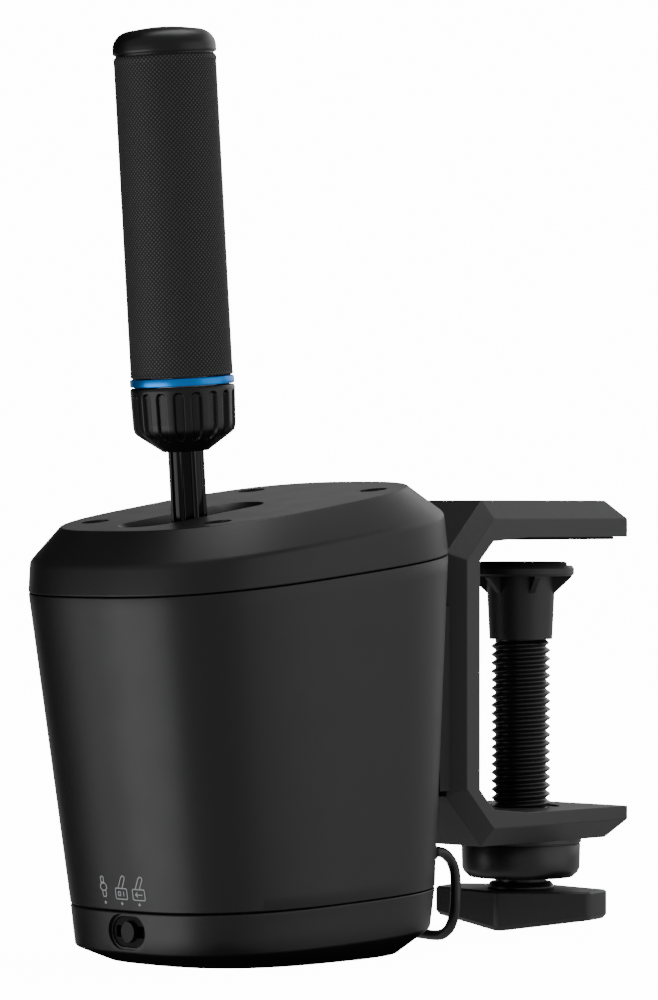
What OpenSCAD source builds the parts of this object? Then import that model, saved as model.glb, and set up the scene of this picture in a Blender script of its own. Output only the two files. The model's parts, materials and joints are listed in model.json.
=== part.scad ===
// Gear shifter and handbrake lever for a driving simulator, held to a desk by a screw clamp.
// Millimetres. +X points to the desk, +Y to the left of a driver who faces it, +Z up.
// The origin is the middle of the upper jaw's pad, on the clamp screw's axis.

/* [Housing] */
// Length at the joint with the top cover
housing_len_top = 126.8; // [116:0.2:138]
// Width at the joint with the top cover
housing_wid_top = 96.2; // [92:0.2:110]
// Length at the joint with the base cover
housing_len_low = 110; // [106:0.2:120]
// Width at the joint with the base cover
housing_wid_low = 84.2; // [80:0.2:92]
// Height from joint to joint, at the middle of the housing
housing_h = 95.2; // [92:0.2:106]
// Wall thickness of the housing and its covers
wall = 2.6; // [2:0.1:3.2]
// Distance from the lever's datum to the front of the housing
front_reach = 84.3; // [82:0.1:90]
// How far the front wall leans back down to the base joint
front_lean = 2.6; // [0:0.1:5]
// Slope of the upper joint in degrees
joint_tilt_top = 5.9; // [4:0.1:8]
// Slope of the lower joint in degrees
joint_tilt_low = 1.8; // [0:0.1:3]
// Exponent of the oval outline: 2 is an ellipse, more is squarer
squareness = 2.83; // [2.6:0.01:3.4]

/* [Top cover] */
// Height of the upright band over the joint
cover_band = 10.2; // [8:0.1:13]
// Height of the sloping bevel round the top face
cover_rise = 9.5; // [7:0.1:12]
// Length of the top face
top_len = 103.9; // [98:0.1:108]
// Width of the top face
top_wid = 80.2; // [76:0.1:84]
// Slope of the top face in degrees
top_tilt = 8.1; // [6:0.1:10]
// Length of the lever slot at the surface
slot_len = 53; // [52:0.5:58]
// Width of the lever slot at the surface
slot_wid = 18; // [16:0.5:22]
// Width of the sloping rim round the slot
slot_rim = 2.2; // [1:0.1:2.4]
// Spacing of the cover screws along the housing
cover_screw_dx = 65.6; // [60:0.2:70]
// Spacing of the cover screws across the housing
cover_screw_dy = 50.3; // [46:0.1:54]

/* [Base cover] */
// Height of the upright band under the joint
base_band = 12.1; // [10:0.1:15]
// Height of the bevel down to the flat underside
base_rise = 5.9; // [4:0.1:8]
// Length of the flat underside
base_len = 86; // [80:0.5:94]
// Width of the flat underside
base_wid = 67; // [62:0.5:72]
// Spacing of the base screws along the housing
base_screw_dx = 60; // [54:0.5:64]
// Spacing of the base screws across the housing
base_screw_dy = 42; // [38:0.5:44]
// Spacing of the threaded rig inserts along the housing
rig_dx = 36; // [30:0.5:40]
// Spacing of the threaded rig inserts across the housing
rig_dy = 28; // [26:0.5:30]
// Core diameter of the rig inserts' thread
rig_bore_d = 5; // [4:0.1:6]

/* [Lever] */
// Lean of the lever towards the driver in degrees
lever_lean = 4.33; // [3:0.01:6]
// Diameter of the fluted rod
rod_d = 10.5; // [9:0.1:11]
// Depth of the pivot under the datum level
pivot_depth = 84; // [80:0.5:88]
// Swing each way in degrees
swing = 11; // [8:0.5:11]
// Diameter of the pivot axle
axle_d = 8; // [6:0.1:9]
// Height of the rod's top end over the pivot
rod_top = 186; // [170:1:190]
// Number of flutes along the rod
rod_flutes = 8; // [6:1:12]

/* [Grip] */
// Diameter of the grip
grip_d = 30; // [27:0.1:33]
// Length of the textured sleeve
grip_len = 93.3; // [85:0.1:105]
// Height of the domed cap
cap_h = 8.3; // [6:0.1:12]
// Height of the blue ring
ring_h = 2.3; // [1.5:0.1:4]
// Height of the fluted part of the lock collar
collar_h = 13.9; // [12:0.1:18]
// Height of the lock collar's cone
collar_cone_h = 5; // [4:0.1:6]
// Number of flutes round the lock collar
collar_flutes = 18; // [12:1:24]
// Height of the lock collar's lower end over the pivot
collar_foot = 101.5; // [101:0.5:108]

/* [Clamp] */
// Width of the clamp frame
clamp_w = 49; // [46:0.5:56]
// Thickness of the post
post_t = 9.9; // [9:0.1:12]
// Thickness of the upper arm
arm_t = 11.4; // [10:0.1:14]
// Thickness of the lower arm
low_arm_t = 9.9; // [9:0.1:12]
// Opening between the arms
throat_h = 84.5; // [80:0.5:86]
// Distance from the post's inner face to the screw's axis
throat_depth = 47; // [44:0.5:55]
// Arm length beyond the screw's axis
arm_over = 23.5; // [20:0.5:30]
// Height of the arm's top over the datum level
arm_top = 3; // [1:0.1:5]
// Height of the long edge bevels
clamp_bevel = 5.7; // [3:0.1:6.5]
// Depth of the long edge bevels into the width
clamp_bevel_in = 5; // [3:0.1:7]
// Thickness of the mounting plate between housing and clamp
plate_t = 4.5; // [3:0.1:8]
// Thickness of the jaw pad
jaw_pad_t = 0.8; // [0.6:0.1:2]

/* [Clamp screw] */
// Outer diameter of the screw's thread
screw_d = 18.5; // [16:0.1:20]
// Diameter of the plain neck in the foot
neck_d = 15.8; // [14:0.1:16]
// Gap between the jaw pad and the foot's pad as stored
jaw_gap = 7; // [6.5:0.1:30]
// Diameter of the foot's flange
foot_d = 33.5; // [30:0.1:38]
// Height of the foot with its socket
foot_h = 24.3; // [22:0.1:28]
// Diameter of the nut under the lower arm
nut_d = 37; // [34:0.1:42]
// Depth of the nut under the lower arm
nut_h = 12.3; // [10:0.1:14]
// Tip-to-tip length of the wing handle
wing_len = 54; // [48:0.5:56]
// Width at the middle of the wing handle
wing_wid = 36; // [32:0.5:40]
// Height at the middle of the wing handle
wing_h = 12.3; // [11:0.1:13]
// Turn of the wing handle as stored in degrees
wing_turn = -75; // [-180:5:180]

/* [Mode switch] */
// Width of the switch window
window_w = 13.4; // [13.2:0.1:16]
// Height of the switch window
window_h = 9; // [8:0.1:10]
// Travel of the knob each way
switch_travel = 3.3; // [2.5:0.1:3.3]
// Width of the knob
knob_w = 6.2; // [5.5:0.1:6.2]

/* [Cable] */
// Diameter of the cable
cable_d = 3.2; // [2.8:0.1:3.3]

/* [Fits] */
// Radial running clearance of the pivot axle in its bushes
fit_run = 0.05; // [0.02:0.01:0.1]
// Radial sliding clearance of grip on rod and of screw in nut
fit_slide = 0.08; // [0.03:0.01:0.1]
// Radial clearance of fixed pieces in their seats
fit_loose = 0.15; // [0.1:0.05:0.3]
// Gap between pieces that move past each other
fit_gap = 0.3; // [0.2:0.05:0.5]

/* [Hidden] */

$fn = 64;
sides = 64;
eps = 0.01;

// Levels of the housing, from the datum level that the lever's slot lies near
joint_top_z = -18.4;
joint_low_z = joint_top_z - housing_h;
shoulder_z = joint_top_z + cover_band;
top_z = shoulder_z + cover_rise;
base_shoulder_z = joint_low_z - base_band;
floor_z = base_shoulder_z - base_rise;
joint_top_x = front_reach - housing_len_top / 2;
joint_low_x = front_reach - front_lean - housing_len_low / 2;
shoulder_len = housing_len_top - 3.6;
shoulder_wid = housing_wid_top + 0.6;
shoulder_x = joint_top_x - 0.7;
top_x = joint_top_x - 2.3;
base_shoulder_len = housing_len_low - 1.8;
base_shoulder_wid = housing_wid_low - 3;
base_x = joint_low_x;
shoulder_tilt = (joint_tilt_top + top_tilt) / 2;
edge_r = 1.6;
lip_h = 3;
lip_t = 1.4;
lever_rod_x = -0.55;
slot_x = lever_rod_x + 1;

// Lever pivot
pivot_x = lever_rod_x + pivot_depth * tan(lever_lean);
pivot_z = -pivot_depth;
cheek_in = 18.5;
cheek_t = 5;
cheek_r = 13;
bush_flange = 1;
hub_wid = 2 * (cheek_in - bush_flange - fit_gap);
hub_len = 16;
hub_top = 27;
hub_foot = 12;
bolt_h = 17;
rod_foot = axle_d / 2 + 1.5;
flute_r = 0.9;
web_x = 21.5;
web_t = 3.5;
web_top = 44;
web_wid = 2 * (cheek_in + cheek_t) - 3;
spring_h = 17;
spring_r = 5.4;
spring_wire = 1.2;
spring_turns = 5;
spring_cap = 1.2;
guide_r = 2;
stop_h = 38;
stop_r = 4;
stop_stem_r = 1.8;
stop_face = rod_d / 2 / cos(swing) + (stop_h + stop_r) * tan(swing) + fit_gap;
shield_r = 60;
shield_t = 1.6;
shield_half = 26;
shield_wid = 24;
axle_half = 28;
bush_r = axle_d / 2 + 1.6;
clip_t = 1;
clip_y = cheek_in + cheek_t + fit_gap + clip_t / 2;
magnet_r = 3;
magnet_t = 2.5;
sensor_y = axle_half + magnet_t + 1.5;
sensor_dx = 14;
sensor_side = 19;
sensor_post_r = 2.2;
pilot_r = 0.9;

// Chassis inside the housing
chassis_t = 4;
chassis_z = joint_low_z + 5.2;
chassis_front = front_reach - 12.3;
chassis_rear = base_x - housing_len_low / 2 + 9;
web_foot = chassis_z + chassis_t / 2 - pivot_z;
chassis_wid = 52;
front_wall_t = 5;
front_wall_wid = 44;
front_wall_x = chassis_front - front_wall_t;
post_r = 4.6;
screw_r = 2;
head_r = 3.5;
head_h = 4;
recess_r = 4.1;
recess_deep = 0.9;
cover_boss_h = 8.6;
boss_up = cover_boss_h - 0.6;
boss_r = 5.4;
base_head_deep = 2.4;
base_head_r = 3.6;
base_screw_len = chassis_z + chassis_t - floor_z - base_head_deep - head_h - 0.3;
rig_h = 7;
rig_r = 3.6;

// Grip levels along the lever, over the pivot
collar_top = collar_foot + collar_cone_h + collar_h;
ring_foot = collar_top + fit_gap;
sleeve_foot = ring_foot + ring_h + 0.2;
sleeve_top = sleeve_foot + grip_len;
nose_r = 10;
core_r = 12;
spigot_r = 9;
spigot_h = 6;
nose_foot = collar_foot + 6.5;
collar_flute_r = 1.25;

// Clamp levels and stations
boss_out = 1.2;
boss_wid = 40;
boss_h = 54;
boss_z = -57;
post_back = front_reach + boss_out + plate_t;
post_in = post_back + post_t;
screw_x = post_in + throat_depth;
arm_tip = screw_x + arm_over;
arm_under = arm_top - arm_t;
low_arm_top = arm_under - throat_h;
low_arm_under = low_arm_top - low_arm_t;
jaw_z = arm_under - jaw_pad_t;
pad_wid = clamp_w - 5;
pad_corner = 4;
corner_out = 16;
corner_in = 6.3;
mount_dy = 24;
mount_dz = 36;
mount_screw_r = 2.5;
mount_head_r = 4.3;
mount_head_h = 5;

// Clamp screw levels
foot_top = jaw_z - jaw_gap;
flange_top = foot_top - 1.2;
flange_t = 3.3;
pad_seat = 0.8;
pad_r = 14.5;
socket_top_r = 10.85;
socket_foot_r = 9.9;
foot_foot = foot_top - foot_h;
neck_top = flange_top - 6.6;
neck_foot = foot_foot - 3.4;
rib_n = 6;
rib_t = 1.8;
rib_h = 5.3;
nut_ring_h = 2.7;
nut_sleeve_r = 12;
nut_foot = low_arm_under - nut_h;
washer_top = nut_foot - 1.5;
washer_h = 2.1;
washer_r = 10.5;
wing_top = washer_top - washer_h;
wing_end_wid = 16;
wing_end_h = 9;
wing_corner_r = 3;
tenon_r = 6;
tenon_foot = wing_top - 5.4;
bolt_recess = head_h + 0.6;
handle_bolt_r = 2;

// Mode switch
window_z = floor_z + 10.4;
window_y = -1.9;
window_x = base_x - housing_len_low / 2 + 0.9;
switch_face = window_x + 1.1;
switch_nose = 2.9;
knob_out = 1.5;
stem_w = 4;
stem_h = 3;
stem_deep = 2.5;
switch_wid = 16;
switch_high = 9;
switch_deep = 7;
board_z = window_z - 1;
board_t = 1.6;
board_wid = 29;
board_len = 58;
board_rear = base_x - board_len / 2;
standoff_r = 3;
board_screw_dx = 48;
chip_side = 10;
chip_h = 1.6;
small_chip = 5;
socket_len = 7;
socket_wid = 9;
small_head_r = 1.9;
small_head_h = 1.6;
small_hex = 1.5;
board_bite = 4;
sensor_bite = 3.5;
board_screw_dy = 22;

// Cable: it leaves the front wall, drops to the floor and runs under the clamp to its coil.
// A path gives each point along X and Y, and its height over the floor
exit_y = -18;
exit_z = floor_z + 28.2;
lead_path = [
  [86, -18, 28.2], [88, -18, 28.2], [90, -18, 27.8], [92, -18, 26.8],
  [93.7, -18, 25.3], [95, -18, 23.3], [95.7, -18, 21.1], [96, -18, 18.6],
  [96, -18, 15.6], [96, -17.9, 12.6], [96.1, -17.4, 9.6], [96.3, -16.4, 6.6],
  [96.7, -14.4, 3.9], [97.2, -11.4, 2.2], [98, -7.5, 1.6], [99.3, -1.5, 1.6],
  [101, 5, 1.6], [103.4, 12, 1.6], [106.2, 19, 1.6], [109.2, 26, 1.6],
  [112.2, 33, 1.6], [115, 40, 1.6], [117.4, 46.5, 1.6], [119.2, 52.5, 1.9],
  [120.2, 57.5, 2.3], [120.5, 61, 2.4], [120.5, 64.8, 2.4]
];
tail_path = [
  [120.5, 71.2, 13.5], [120.5, 74, 13.5], [120.5, 77.5, 13], [120.5, 81.3, 11.9],
  [120.4, 85, 10.5], [119.6, 89.6, 8.6], [117.7, 93.8, 6.7], [114.7, 97.5, 5.3],
  [110.9, 100.4, 4.4], [107.6, 102.2, 4], [104.8, 103, 4], [102.5, 103, 4]
];
// The same routes at their level over the floor
lead_route = [for (p = lead_path) [p[0], p[1], p[2] + floor_z]];
tail_route = [for (p = tail_path) [p[0], p[1], p[2] + floor_z]];
coil_x = 95.5;
coil_y = 68;
coil_z = floor_z + 2.4;
coil_out_r = 25;
coil_layers = 4;
coil_turns_layer = 3.5;
coil_turns = coil_layers * coil_turns_layer;
coil_rings = 24;
coil_pitch = cable_d + 0.5;
tie_t = 0.7;
tie_w = 4;
tie_turn = 130;
plug_axis = [102.5, 103, floor_z + 4];
plug_relief = 8.5;
plug_len = 20;
plug_wid = 16;
plug_high = 8;
plug_corner = 2.5;
shell_len = 12;
shell_wid = 12;
shell_high = 4.5;
shell_t = 0.4;

module placed() {
  translate([-screw_x, 0, -jaw_z]) children();
}

module on_lever() {
  translate([pivot_x, 0, pivot_z]) rotate([0, -lever_lean, 0]) children();
}

// Point of a superellipse with half axes a and b at the angle t
function oval_point(a, b, t) = [
  a * sign(cos(t)) * pow(abs(cos(t)), 2 / squareness),
  b * sign(sin(t)) * pow(abs(sin(t)), 2 / squareness)
];

// One level outline of the housing, on a plane that slopes along X
function oval_ring(size, x, z, tilt, inset = 0) = [
  for (i = [0 : sides - 1])
    let (p = oval_point(size[0] / 2 - inset, size[1] / 2 - inset, 360 * i / sides))
    [x + p[0], p[1], z + p[0] * tan(tilt)]
];

// Outline partway down the housing, from 0 at the upper joint to 1 at the lower one
function housing_ring(f, inset = 0) = oval_ring(
  [housing_len_top + (housing_len_low - housing_len_top) * f,
   housing_wid_top + (housing_wid_low - housing_wid_top) * f],
  joint_top_x + (joint_low_x - joint_top_x) * f,
  joint_top_z - housing_h * f,
  joint_tilt_top + (joint_tilt_low - joint_tilt_top) * f,
  inset
);

// Front of the housing's outer wall at a place across it and a height
function front_at(y, z) =
  let (f = (joint_top_z - z) / housing_h)
  let (a = (housing_len_top + (housing_len_low - housing_len_top) * f) / 2)
  let (b = (housing_wid_top + (housing_wid_low - housing_wid_top) * f) / 2)
  joint_top_x + (joint_low_x - joint_top_x) * f
    + a * pow(1 - pow(abs(y) / b, squareness), 1 / squareness);

// Height of the sloping top face at a place along it
function top_at(x) = top_z + (x - top_x) * tan(top_tilt);

// Skin over rings of equal length, capped at both ends or joined into a loop
module loft(rings, loop = false) {
  n = len(rings[0]);
  bands = loop ? len(rings) : len(rings) - 1;
  walls = [
    for (k = [0 : bands - 1], i = [0 : n - 1])
      let (a = k * n + i, b = k * n + (i + 1) % n)
      let (d = ((k + 1) % len(rings)) * n + i, c = ((k + 1) % len(rings)) * n + (i + 1) % n)
      each [[a, d, c], [a, c, b]]
  ];
  last = (len(rings) - 1) * n;
  caps = loop ? [] : [[for (i = [0 : n - 1]) i], [for (i = [n - 1 : -1 : 0]) last + i]];
  polyhedron(points = [for (r = rings) each r], faces = concat(walls, caps));
}

module at_corners(dx, dy) {
  for (sx = [-1, 1], sy = [-1, 1]) translate([sx * dx / 2, sy * dy / 2, 0]) children();
}

// Slot outline with round ends, along X
module stadium(length, width) {
  square([length - width, width], center = true);
  for (s = [-1, 1]) translate([s * (length - width) / 2, 0]) circle(d = width);
}

// Stadium outline at a level, as a ring for loft()
function slot_ring(length, width, z) = [
  for (i = [0 : 47])
    let (t = 360 * (i + 0.5) / 48, c = cos(t))
    [sign(c) * (length - width) / 2 + c * width / 2, sin(t) * width / 2, z]
];

// Slot whose rim slopes inwards, cut from the surface at z = 0 right through the cover
module dished_slot(length, width, rim) {
  slope = 1.1;
  inner = [length - 2 * rim, width - 2 * rim];
  outer = [length + 0.2, width + 0.2];
  loft([slot_ring(inner[0], inner[1], -9), slot_ring(inner[0], inner[1], -slope * rim),
        slot_ring(outer[0], outer[1], slope * 0.1), slot_ring(outer[0], outer[1], 5)]);
}

// Screw with a socket in its head, head top at z = 0, pointing down
module socket_screw(r, head_radius, head_height, length, hex) {
  difference() {
    union() {
      translate([0, 0, -head_height]) cylinder(h = head_height, r = head_radius);
      translate([0, 0, -head_height - length]) cylinder(h = length + eps, r = r);
    }
    translate([0, 0, -head_height * 0.55]) cylinder(h = head_height, d = hex / cos(30), $fn = 6);
  }
}

module main_housing() color([0.13, 0.13, 0.14]) placed() {
  difference() {
    union() {
      loft([housing_ring(1), housing_ring(0), housing_ring(0, wall), housing_ring(1, wall)], true);
      // Boss that the clamp is bolted to, inside and outside the front wall
      translate([chassis_front, -boss_wid / 2, boss_z - boss_h / 2])
        cube([front_reach + boss_out - chassis_front, boss_wid, boss_h]);
    }
    translate([0, 0, boss_z]) rotate([0, 90, 0]) at_corners(mount_dz, mount_dy)
      cylinder(h = front_reach * 2, r = mount_screw_r + fit_loose);
    translate([front_at(exit_y, exit_z) - 12, exit_y, exit_z]) rotate([0, 90, 0])
      cylinder(h = 24, r = 3.5 + fit_loose);
  }
}

module top_cover() color([0.12, 0.12, 0.13]) placed() {
  shoulder = [shoulder_len, shoulder_wid];
  face = [top_len, top_wid];
  joint = [housing_len_top, housing_wid_top];
  lip = wall + fit_loose;
  difference() {
    union() {
      loft([
        oval_ring(face, top_x, top_z - wall, top_tilt, wall * 0.6),
        oval_ring(shoulder, shoulder_x, shoulder_z - wall * 0.6, shoulder_tilt, wall),
        oval_ring(joint, joint_top_x, joint_top_z + lip_h, joint_tilt_top, lip + lip_t),
        oval_ring(joint, joint_top_x, joint_top_z - lip_h, joint_tilt_top, lip + lip_t),
        oval_ring(joint, joint_top_x, joint_top_z - lip_h, joint_tilt_top, lip + 0.4),
        oval_ring(joint, joint_top_x, joint_top_z, joint_tilt_top, lip),
        oval_ring(joint, joint_top_x, joint_top_z, joint_tilt_top),
        oval_ring(shoulder, shoulder_x, shoulder_z - edge_r, shoulder_tilt, -0.1),
        oval_ring(shoulder, shoulder_x, shoulder_z, shoulder_tilt, 0.3),
        oval_ring(shoulder, shoulder_x, shoulder_z + edge_r, shoulder_tilt, edge_r),
        oval_ring(face, top_x, top_z - 0.4, top_tilt, -0.4),
        oval_ring(face, top_x, top_z, top_tilt, 0.3)
      ]);
      cover_screw_places() rotate(20) translate([0, 0, -cover_boss_h])
        cylinder(h = boss_up, r = boss_r);
    }
    translate([slot_x, 0, top_at(slot_x)]) rotate([0, -top_tilt, 0])
      dished_slot(slot_len, slot_wid, slot_rim);
    // Turned so that no seam of a recess runs along an edge of the face
    cover_screw_places() rotate(20) {
      translate([0, 0, -head_h]) cylinder(h = 20, r = recess_r);
      translate([0, 0, -20]) cylinder(h = 20, r = screw_r + fit_loose);
    }
  }
}

// Places of the cover screws, each with z = 0 on top of its head
module cover_screw_places() {
  for (sx = [-1, 1], sy = [-1, 1]) {
    x = top_x + sx * cover_screw_dx / 2;
    translate([x, sy * cover_screw_dy / 2, top_at(x) - recess_deep]) children();
  }
}

module cover_screws() color([0.07, 0.07, 0.08]) placed()
  cover_screw_places() socket_screw(screw_r, head_r, head_h, cover_boss_h + 4, 3);

module base_cover() color([0.12, 0.12, 0.13]) placed() {
  joint = [housing_len_low, housing_wid_low];
  shoulder = [base_shoulder_len, base_shoulder_wid];
  sole = [base_len, base_wid];
  lip = wall + fit_loose;
  difference() {
    union() {
      loft([
        oval_ring(sole, base_x, floor_z, 0),
        oval_ring(shoulder, base_x, base_shoulder_z - edge_r * 0.7, joint_tilt_low, edge_r),
        oval_ring(shoulder, base_x, base_shoulder_z, joint_tilt_low, 0.3),
        oval_ring(shoulder, base_x, base_shoulder_z + edge_r, joint_tilt_low, -0.1),
        oval_ring(joint, joint_low_x, joint_low_z, joint_tilt_low),
        oval_ring(joint, joint_low_x, joint_low_z, joint_tilt_low, lip),
        oval_ring(joint, joint_low_x, joint_low_z + lip_h, joint_tilt_low, lip),
        oval_ring(joint, joint_low_x, joint_low_z + lip_h, joint_tilt_low, lip + lip_t),
        oval_ring(joint, joint_low_x, joint_low_z - lip_h, joint_tilt_low, lip + lip_t),
        oval_ring(shoulder, base_x, base_shoulder_z, joint_tilt_low, wall),
        oval_ring(sole, base_x, floor_z + wall, 0, wall * 0.6)
      ]);
      translate([base_x, 0, floor_z + wall / 2]) {
        at_corners(base_screw_dx, base_screw_dy)
          cylinder(h = chassis_z - floor_z - wall / 2, r = boss_r);
        at_corners(rig_dx, rig_dy)
          cylinder(h = rig_h + 1.2 - wall / 2, r = rig_r + 2.2);
        at_corners(board_screw_dx, board_screw_dy)
          cylinder(h = board_z - floor_z - wall / 2, r = standoff_r);
      }
    }
    translate([base_x, 0, floor_z]) {
      at_corners(base_screw_dx, base_screw_dy) {
        translate([0, 0, -1]) cylinder(h = base_head_deep + head_h + 1, r = base_head_r + 0.3);
        cylinder(h = 2 * (chassis_z - floor_z), r = screw_r + fit_loose);
      }
      at_corners(rig_dx, rig_dy) translate([0, 0, -1]) cylinder(h = rig_h + 1, r = rig_r);
      at_corners(board_screw_dx, board_screw_dy)
        translate([0, 0, wall + 1]) cylinder(h = board_z - floor_z, r = pilot_r + fit_loose);
    }
    // Window of the mode switch, with a shallow recess round it
    translate([window_x - 4, window_y, window_z]) rotate([90, 0, 90]) {
      linear_extrude(height = 9) stadium(window_w, window_h);
      linear_extrude(height = 4.6) stadium(window_w + 1.4, window_h + 1.4);
    }
  }
}

module base_screws() color([0.07, 0.07, 0.08]) placed()
  translate([base_x, 0, floor_z + base_head_deep]) at_corners(base_screw_dx, base_screw_dy)
    mirror([0, 0, 1]) socket_screw(screw_r, base_head_r, head_h, base_screw_len, 3);

module rig_inserts() color([0.72, 0.56, 0.3]) placed()
  translate([base_x, 0, floor_z]) at_corners(rig_dx, rig_dy) difference() {
    cylinder(h = rig_h, r = rig_r);
    translate([0, 0, -1]) cylinder(h = rig_h + 2, d = rig_bore_d);
  }

// Chassis: floor, two cheeks with bush bores, two spring webs, front wall and four posts
module pivot_frame() color([0.34, 0.35, 0.37]) placed() {
  difference() {
    union() {
      translate([chassis_rear, -chassis_wid / 2, chassis_z])
        cube([chassis_front - 0.5 - chassis_rear, chassis_wid, chassis_t]);
      translate([front_wall_x, -front_wall_wid / 2, chassis_z + 1])
        cube([front_wall_t, front_wall_wid, boss_z + boss_h / 2 - chassis_z - 1]);
      for (s = [-1, 1]) translate([pivot_x, s * (cheek_in + cheek_t / 2), 0])
        rotate([90, 0, 0]) linear_extrude(height = cheek_t, center = true) cheek_outline();
      on_lever() difference() {
        for (s = [-1, 1]) translate([s * (web_x + web_t / 2), 0, web_foot + (web_top - web_foot) / 2])
          cube([web_t, web_wid, web_top - web_foot], center = true);
        for (s = [-1, 1]) translate([s * web_x, 0, spring_h]) rotate([0, 90, 0])
          cylinder(h = 4 * web_t, r = guide_r, center = true);
        for (s = [-1, 1]) translate([s * web_x, 0, stop_h]) rotate([0, 90, 0])
          cylinder(h = 4 * web_t, r = stop_stem_r, center = true);
      }
      for (sx = [-1, 1], sy = [-1, 1]) {
        x = top_x + sx * cover_screw_dx / 2;
        translate([x, sy * cover_screw_dy / 2, chassis_z])
          cylinder(h = top_at(x) - recess_deep - cover_boss_h - chassis_z, r = post_r);
      }
      for (sx = [-1, 1], sz = [-1, 1])
        translate([pivot_x + sx * sensor_dx / 2, cheek_in + 2, pivot_z + sz * sensor_dx / 2])
          rotate([-90, 0, 0]) cylinder(h = sensor_y - cheek_in - 2, r = sensor_post_r);
    }
    translate([pivot_x, 0, pivot_z]) rotate([90, 0, 0])
      cylinder(h = 4 * web_x, r = bush_r + 0.02, center = true);
    for (sx = [-1, 1], sy = [-1, 1]) {
      x = top_x + sx * cover_screw_dx / 2;
      translate([x, sy * cover_screw_dy / 2, top_at(x) - 24]) cylinder(h = 24, r = screw_r + 0.1);
    }
    translate([base_x, 0, chassis_z - 1]) at_corners(base_screw_dx, base_screw_dy)
      cylinder(h = chassis_t + 2, r = screw_r + 0.1);
    translate([0, 0, boss_z]) rotate([0, 90, 0]) at_corners(mount_dz, mount_dy)
      translate([0, 0, front_wall_x - 2]) cylinder(h = front_wall_t + 4, r = mount_screw_r + 0.1);
    for (sx = [-1, 1], sz = [-1, 1])
      translate([pivot_x + sx * sensor_dx / 2, sensor_y, pivot_z + sz * sensor_dx / 2])
        rotate([90, 0, 0]) cylinder(h = 6, r = pilot_r + 0.1);
  }
}

// Cheek seen from the side: a broad foot that narrows to a round eye over the axle
module cheek_outline() {
  foot = chassis_z + chassis_t / 2;
  translate([0, pivot_z]) circle(r = cheek_r);
  polygon([[-web_x - 2, foot], [web_x + 2, foot], [web_x + 2, foot + 6],
           [cheek_r * 0.93, pivot_z + cheek_r * 0.37],
           [-cheek_r * 0.93, pivot_z + cheek_r * 0.37], [-web_x - 2, foot + 6]]);
}

module axle_bushes() color([0.7, 0.5, 0.28]) placed()
  for (s = [-1, 1]) translate([pivot_x, s * (cheek_in + cheek_t / 2), pivot_z])
    rotate([90, 0, 0]) difference() {
      union() {
        cylinder(h = cheek_t, r = bush_r, center = true);
        translate([0, 0, s * (cheek_t / 2 + bush_flange / 2)])
          cylinder(h = bush_flange, r = bush_r + 1.8, center = true);
      }
      cylinder(h = 4 * cheek_t, r = axle_d / 2 + fit_run, center = true);
    }

// Rubber buffers that the rod meets at either end of its swing
module stop_buffers() color([0.05, 0.05, 0.05]) placed() on_lever()
  for (s = [-1, 1]) translate([0, 0, stop_h]) rotate([0, s * 90, 0]) {
    translate([0, 0, stop_face]) cylinder(h = web_x - stop_face, r = stop_r);
    translate([0, 0, web_x - eps]) cylinder(h = web_t + eps, r = stop_stem_r - 0.02);
  }

// Compression springs between the chassis webs and the lever hub
module return_springs() color([0.6, 0.6, 0.62]) placed() on_lever()
  for (s = [-1, 1]) translate([0, 0, spring_h]) rotate([0, s * 90, 0])
    translate([0, 0, hub_len / 2 + fit_gap + spring_wire / 2])
      loft(helix_rings(spring_r - spring_wire / 2, spring_wire / 2,
                       web_x - spring_cap - hub_len / 2 - 2 * fit_gap - spring_wire,
                       spring_turns, 6, 8));

module spring_guides() color([0.45, 0.45, 0.47]) placed() on_lever()
  for (s = [-1, 1]) translate([0, 0, spring_h]) rotate([0, s * 90, 0]) {
    translate([0, 0, web_x - spring_cap]) cylinder(h = spring_cap, r = spring_r + 0.6);
    translate([0, 0, web_x - spring_cap - 5]) cylinder(h = 5 + eps, r = guide_r);
    translate([0, 0, web_x - eps]) cylinder(h = web_t + eps, r = guide_r - 0.02);
  }

// Rings of n points of a tube along a helix about Z, with steps rings a turn
function helix_rings(r, tube_r, rise, turns, n, steps) =
  let (slope = atan(rise / turns / (2 * PI * r)))
  [for (k = [0 : turns * steps])
    let (a = 360 * k / steps)
    [for (i = [0 : n - 1])
      let (out = r + tube_r * cos(360 * i / n), side = -tube_r * sin(360 * i / n))
      [out * cos(a) + side * sin(slope) * sin(a), out * sin(a) - side * sin(slope) * cos(a),
       rise * k / (turns * steps) + side * cos(slope)]]];

// Magnet reader: a small board on four posts beside the axle's end
module angle_sensor() color([0.05, 0.3, 0.16]) placed()
  translate([pivot_x, sensor_y, pivot_z]) rotate([-90, 0, 0]) {
    difference() {
      translate([-sensor_side / 2, -sensor_side / 2, 0]) cube([sensor_side, sensor_side, board_t]);
      at_corners(sensor_dx, sensor_dx) translate([0, 0, -board_t])
        cylinder(h = 3 * board_t, r = pilot_r + 0.2);
    }
    translate([-0.3 * chip_side, -0.3 * chip_side, board_t - eps])
      cube([0.6 * chip_side, 0.6 * chip_side, 0.75 * chip_h]);
    translate([-0.4 * small_chip, small_chip, board_t - eps])
      cube([0.8 * small_chip, 0.4 * small_chip, 0.5 * chip_h]);
  }

module sensor_screws() color([0.55, 0.55, 0.57]) placed()
  for (sx = [-1, 1], sz = [-1, 1])
    translate([pivot_x + sx * sensor_dx / 2, sensor_y + board_t + small_head_h,
               pivot_z + sz * sensor_dx / 2])
      rotate([-90, 0, 0])
        socket_screw(pilot_r, small_head_r, small_head_h, board_t + sensor_bite, small_hex);

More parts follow.
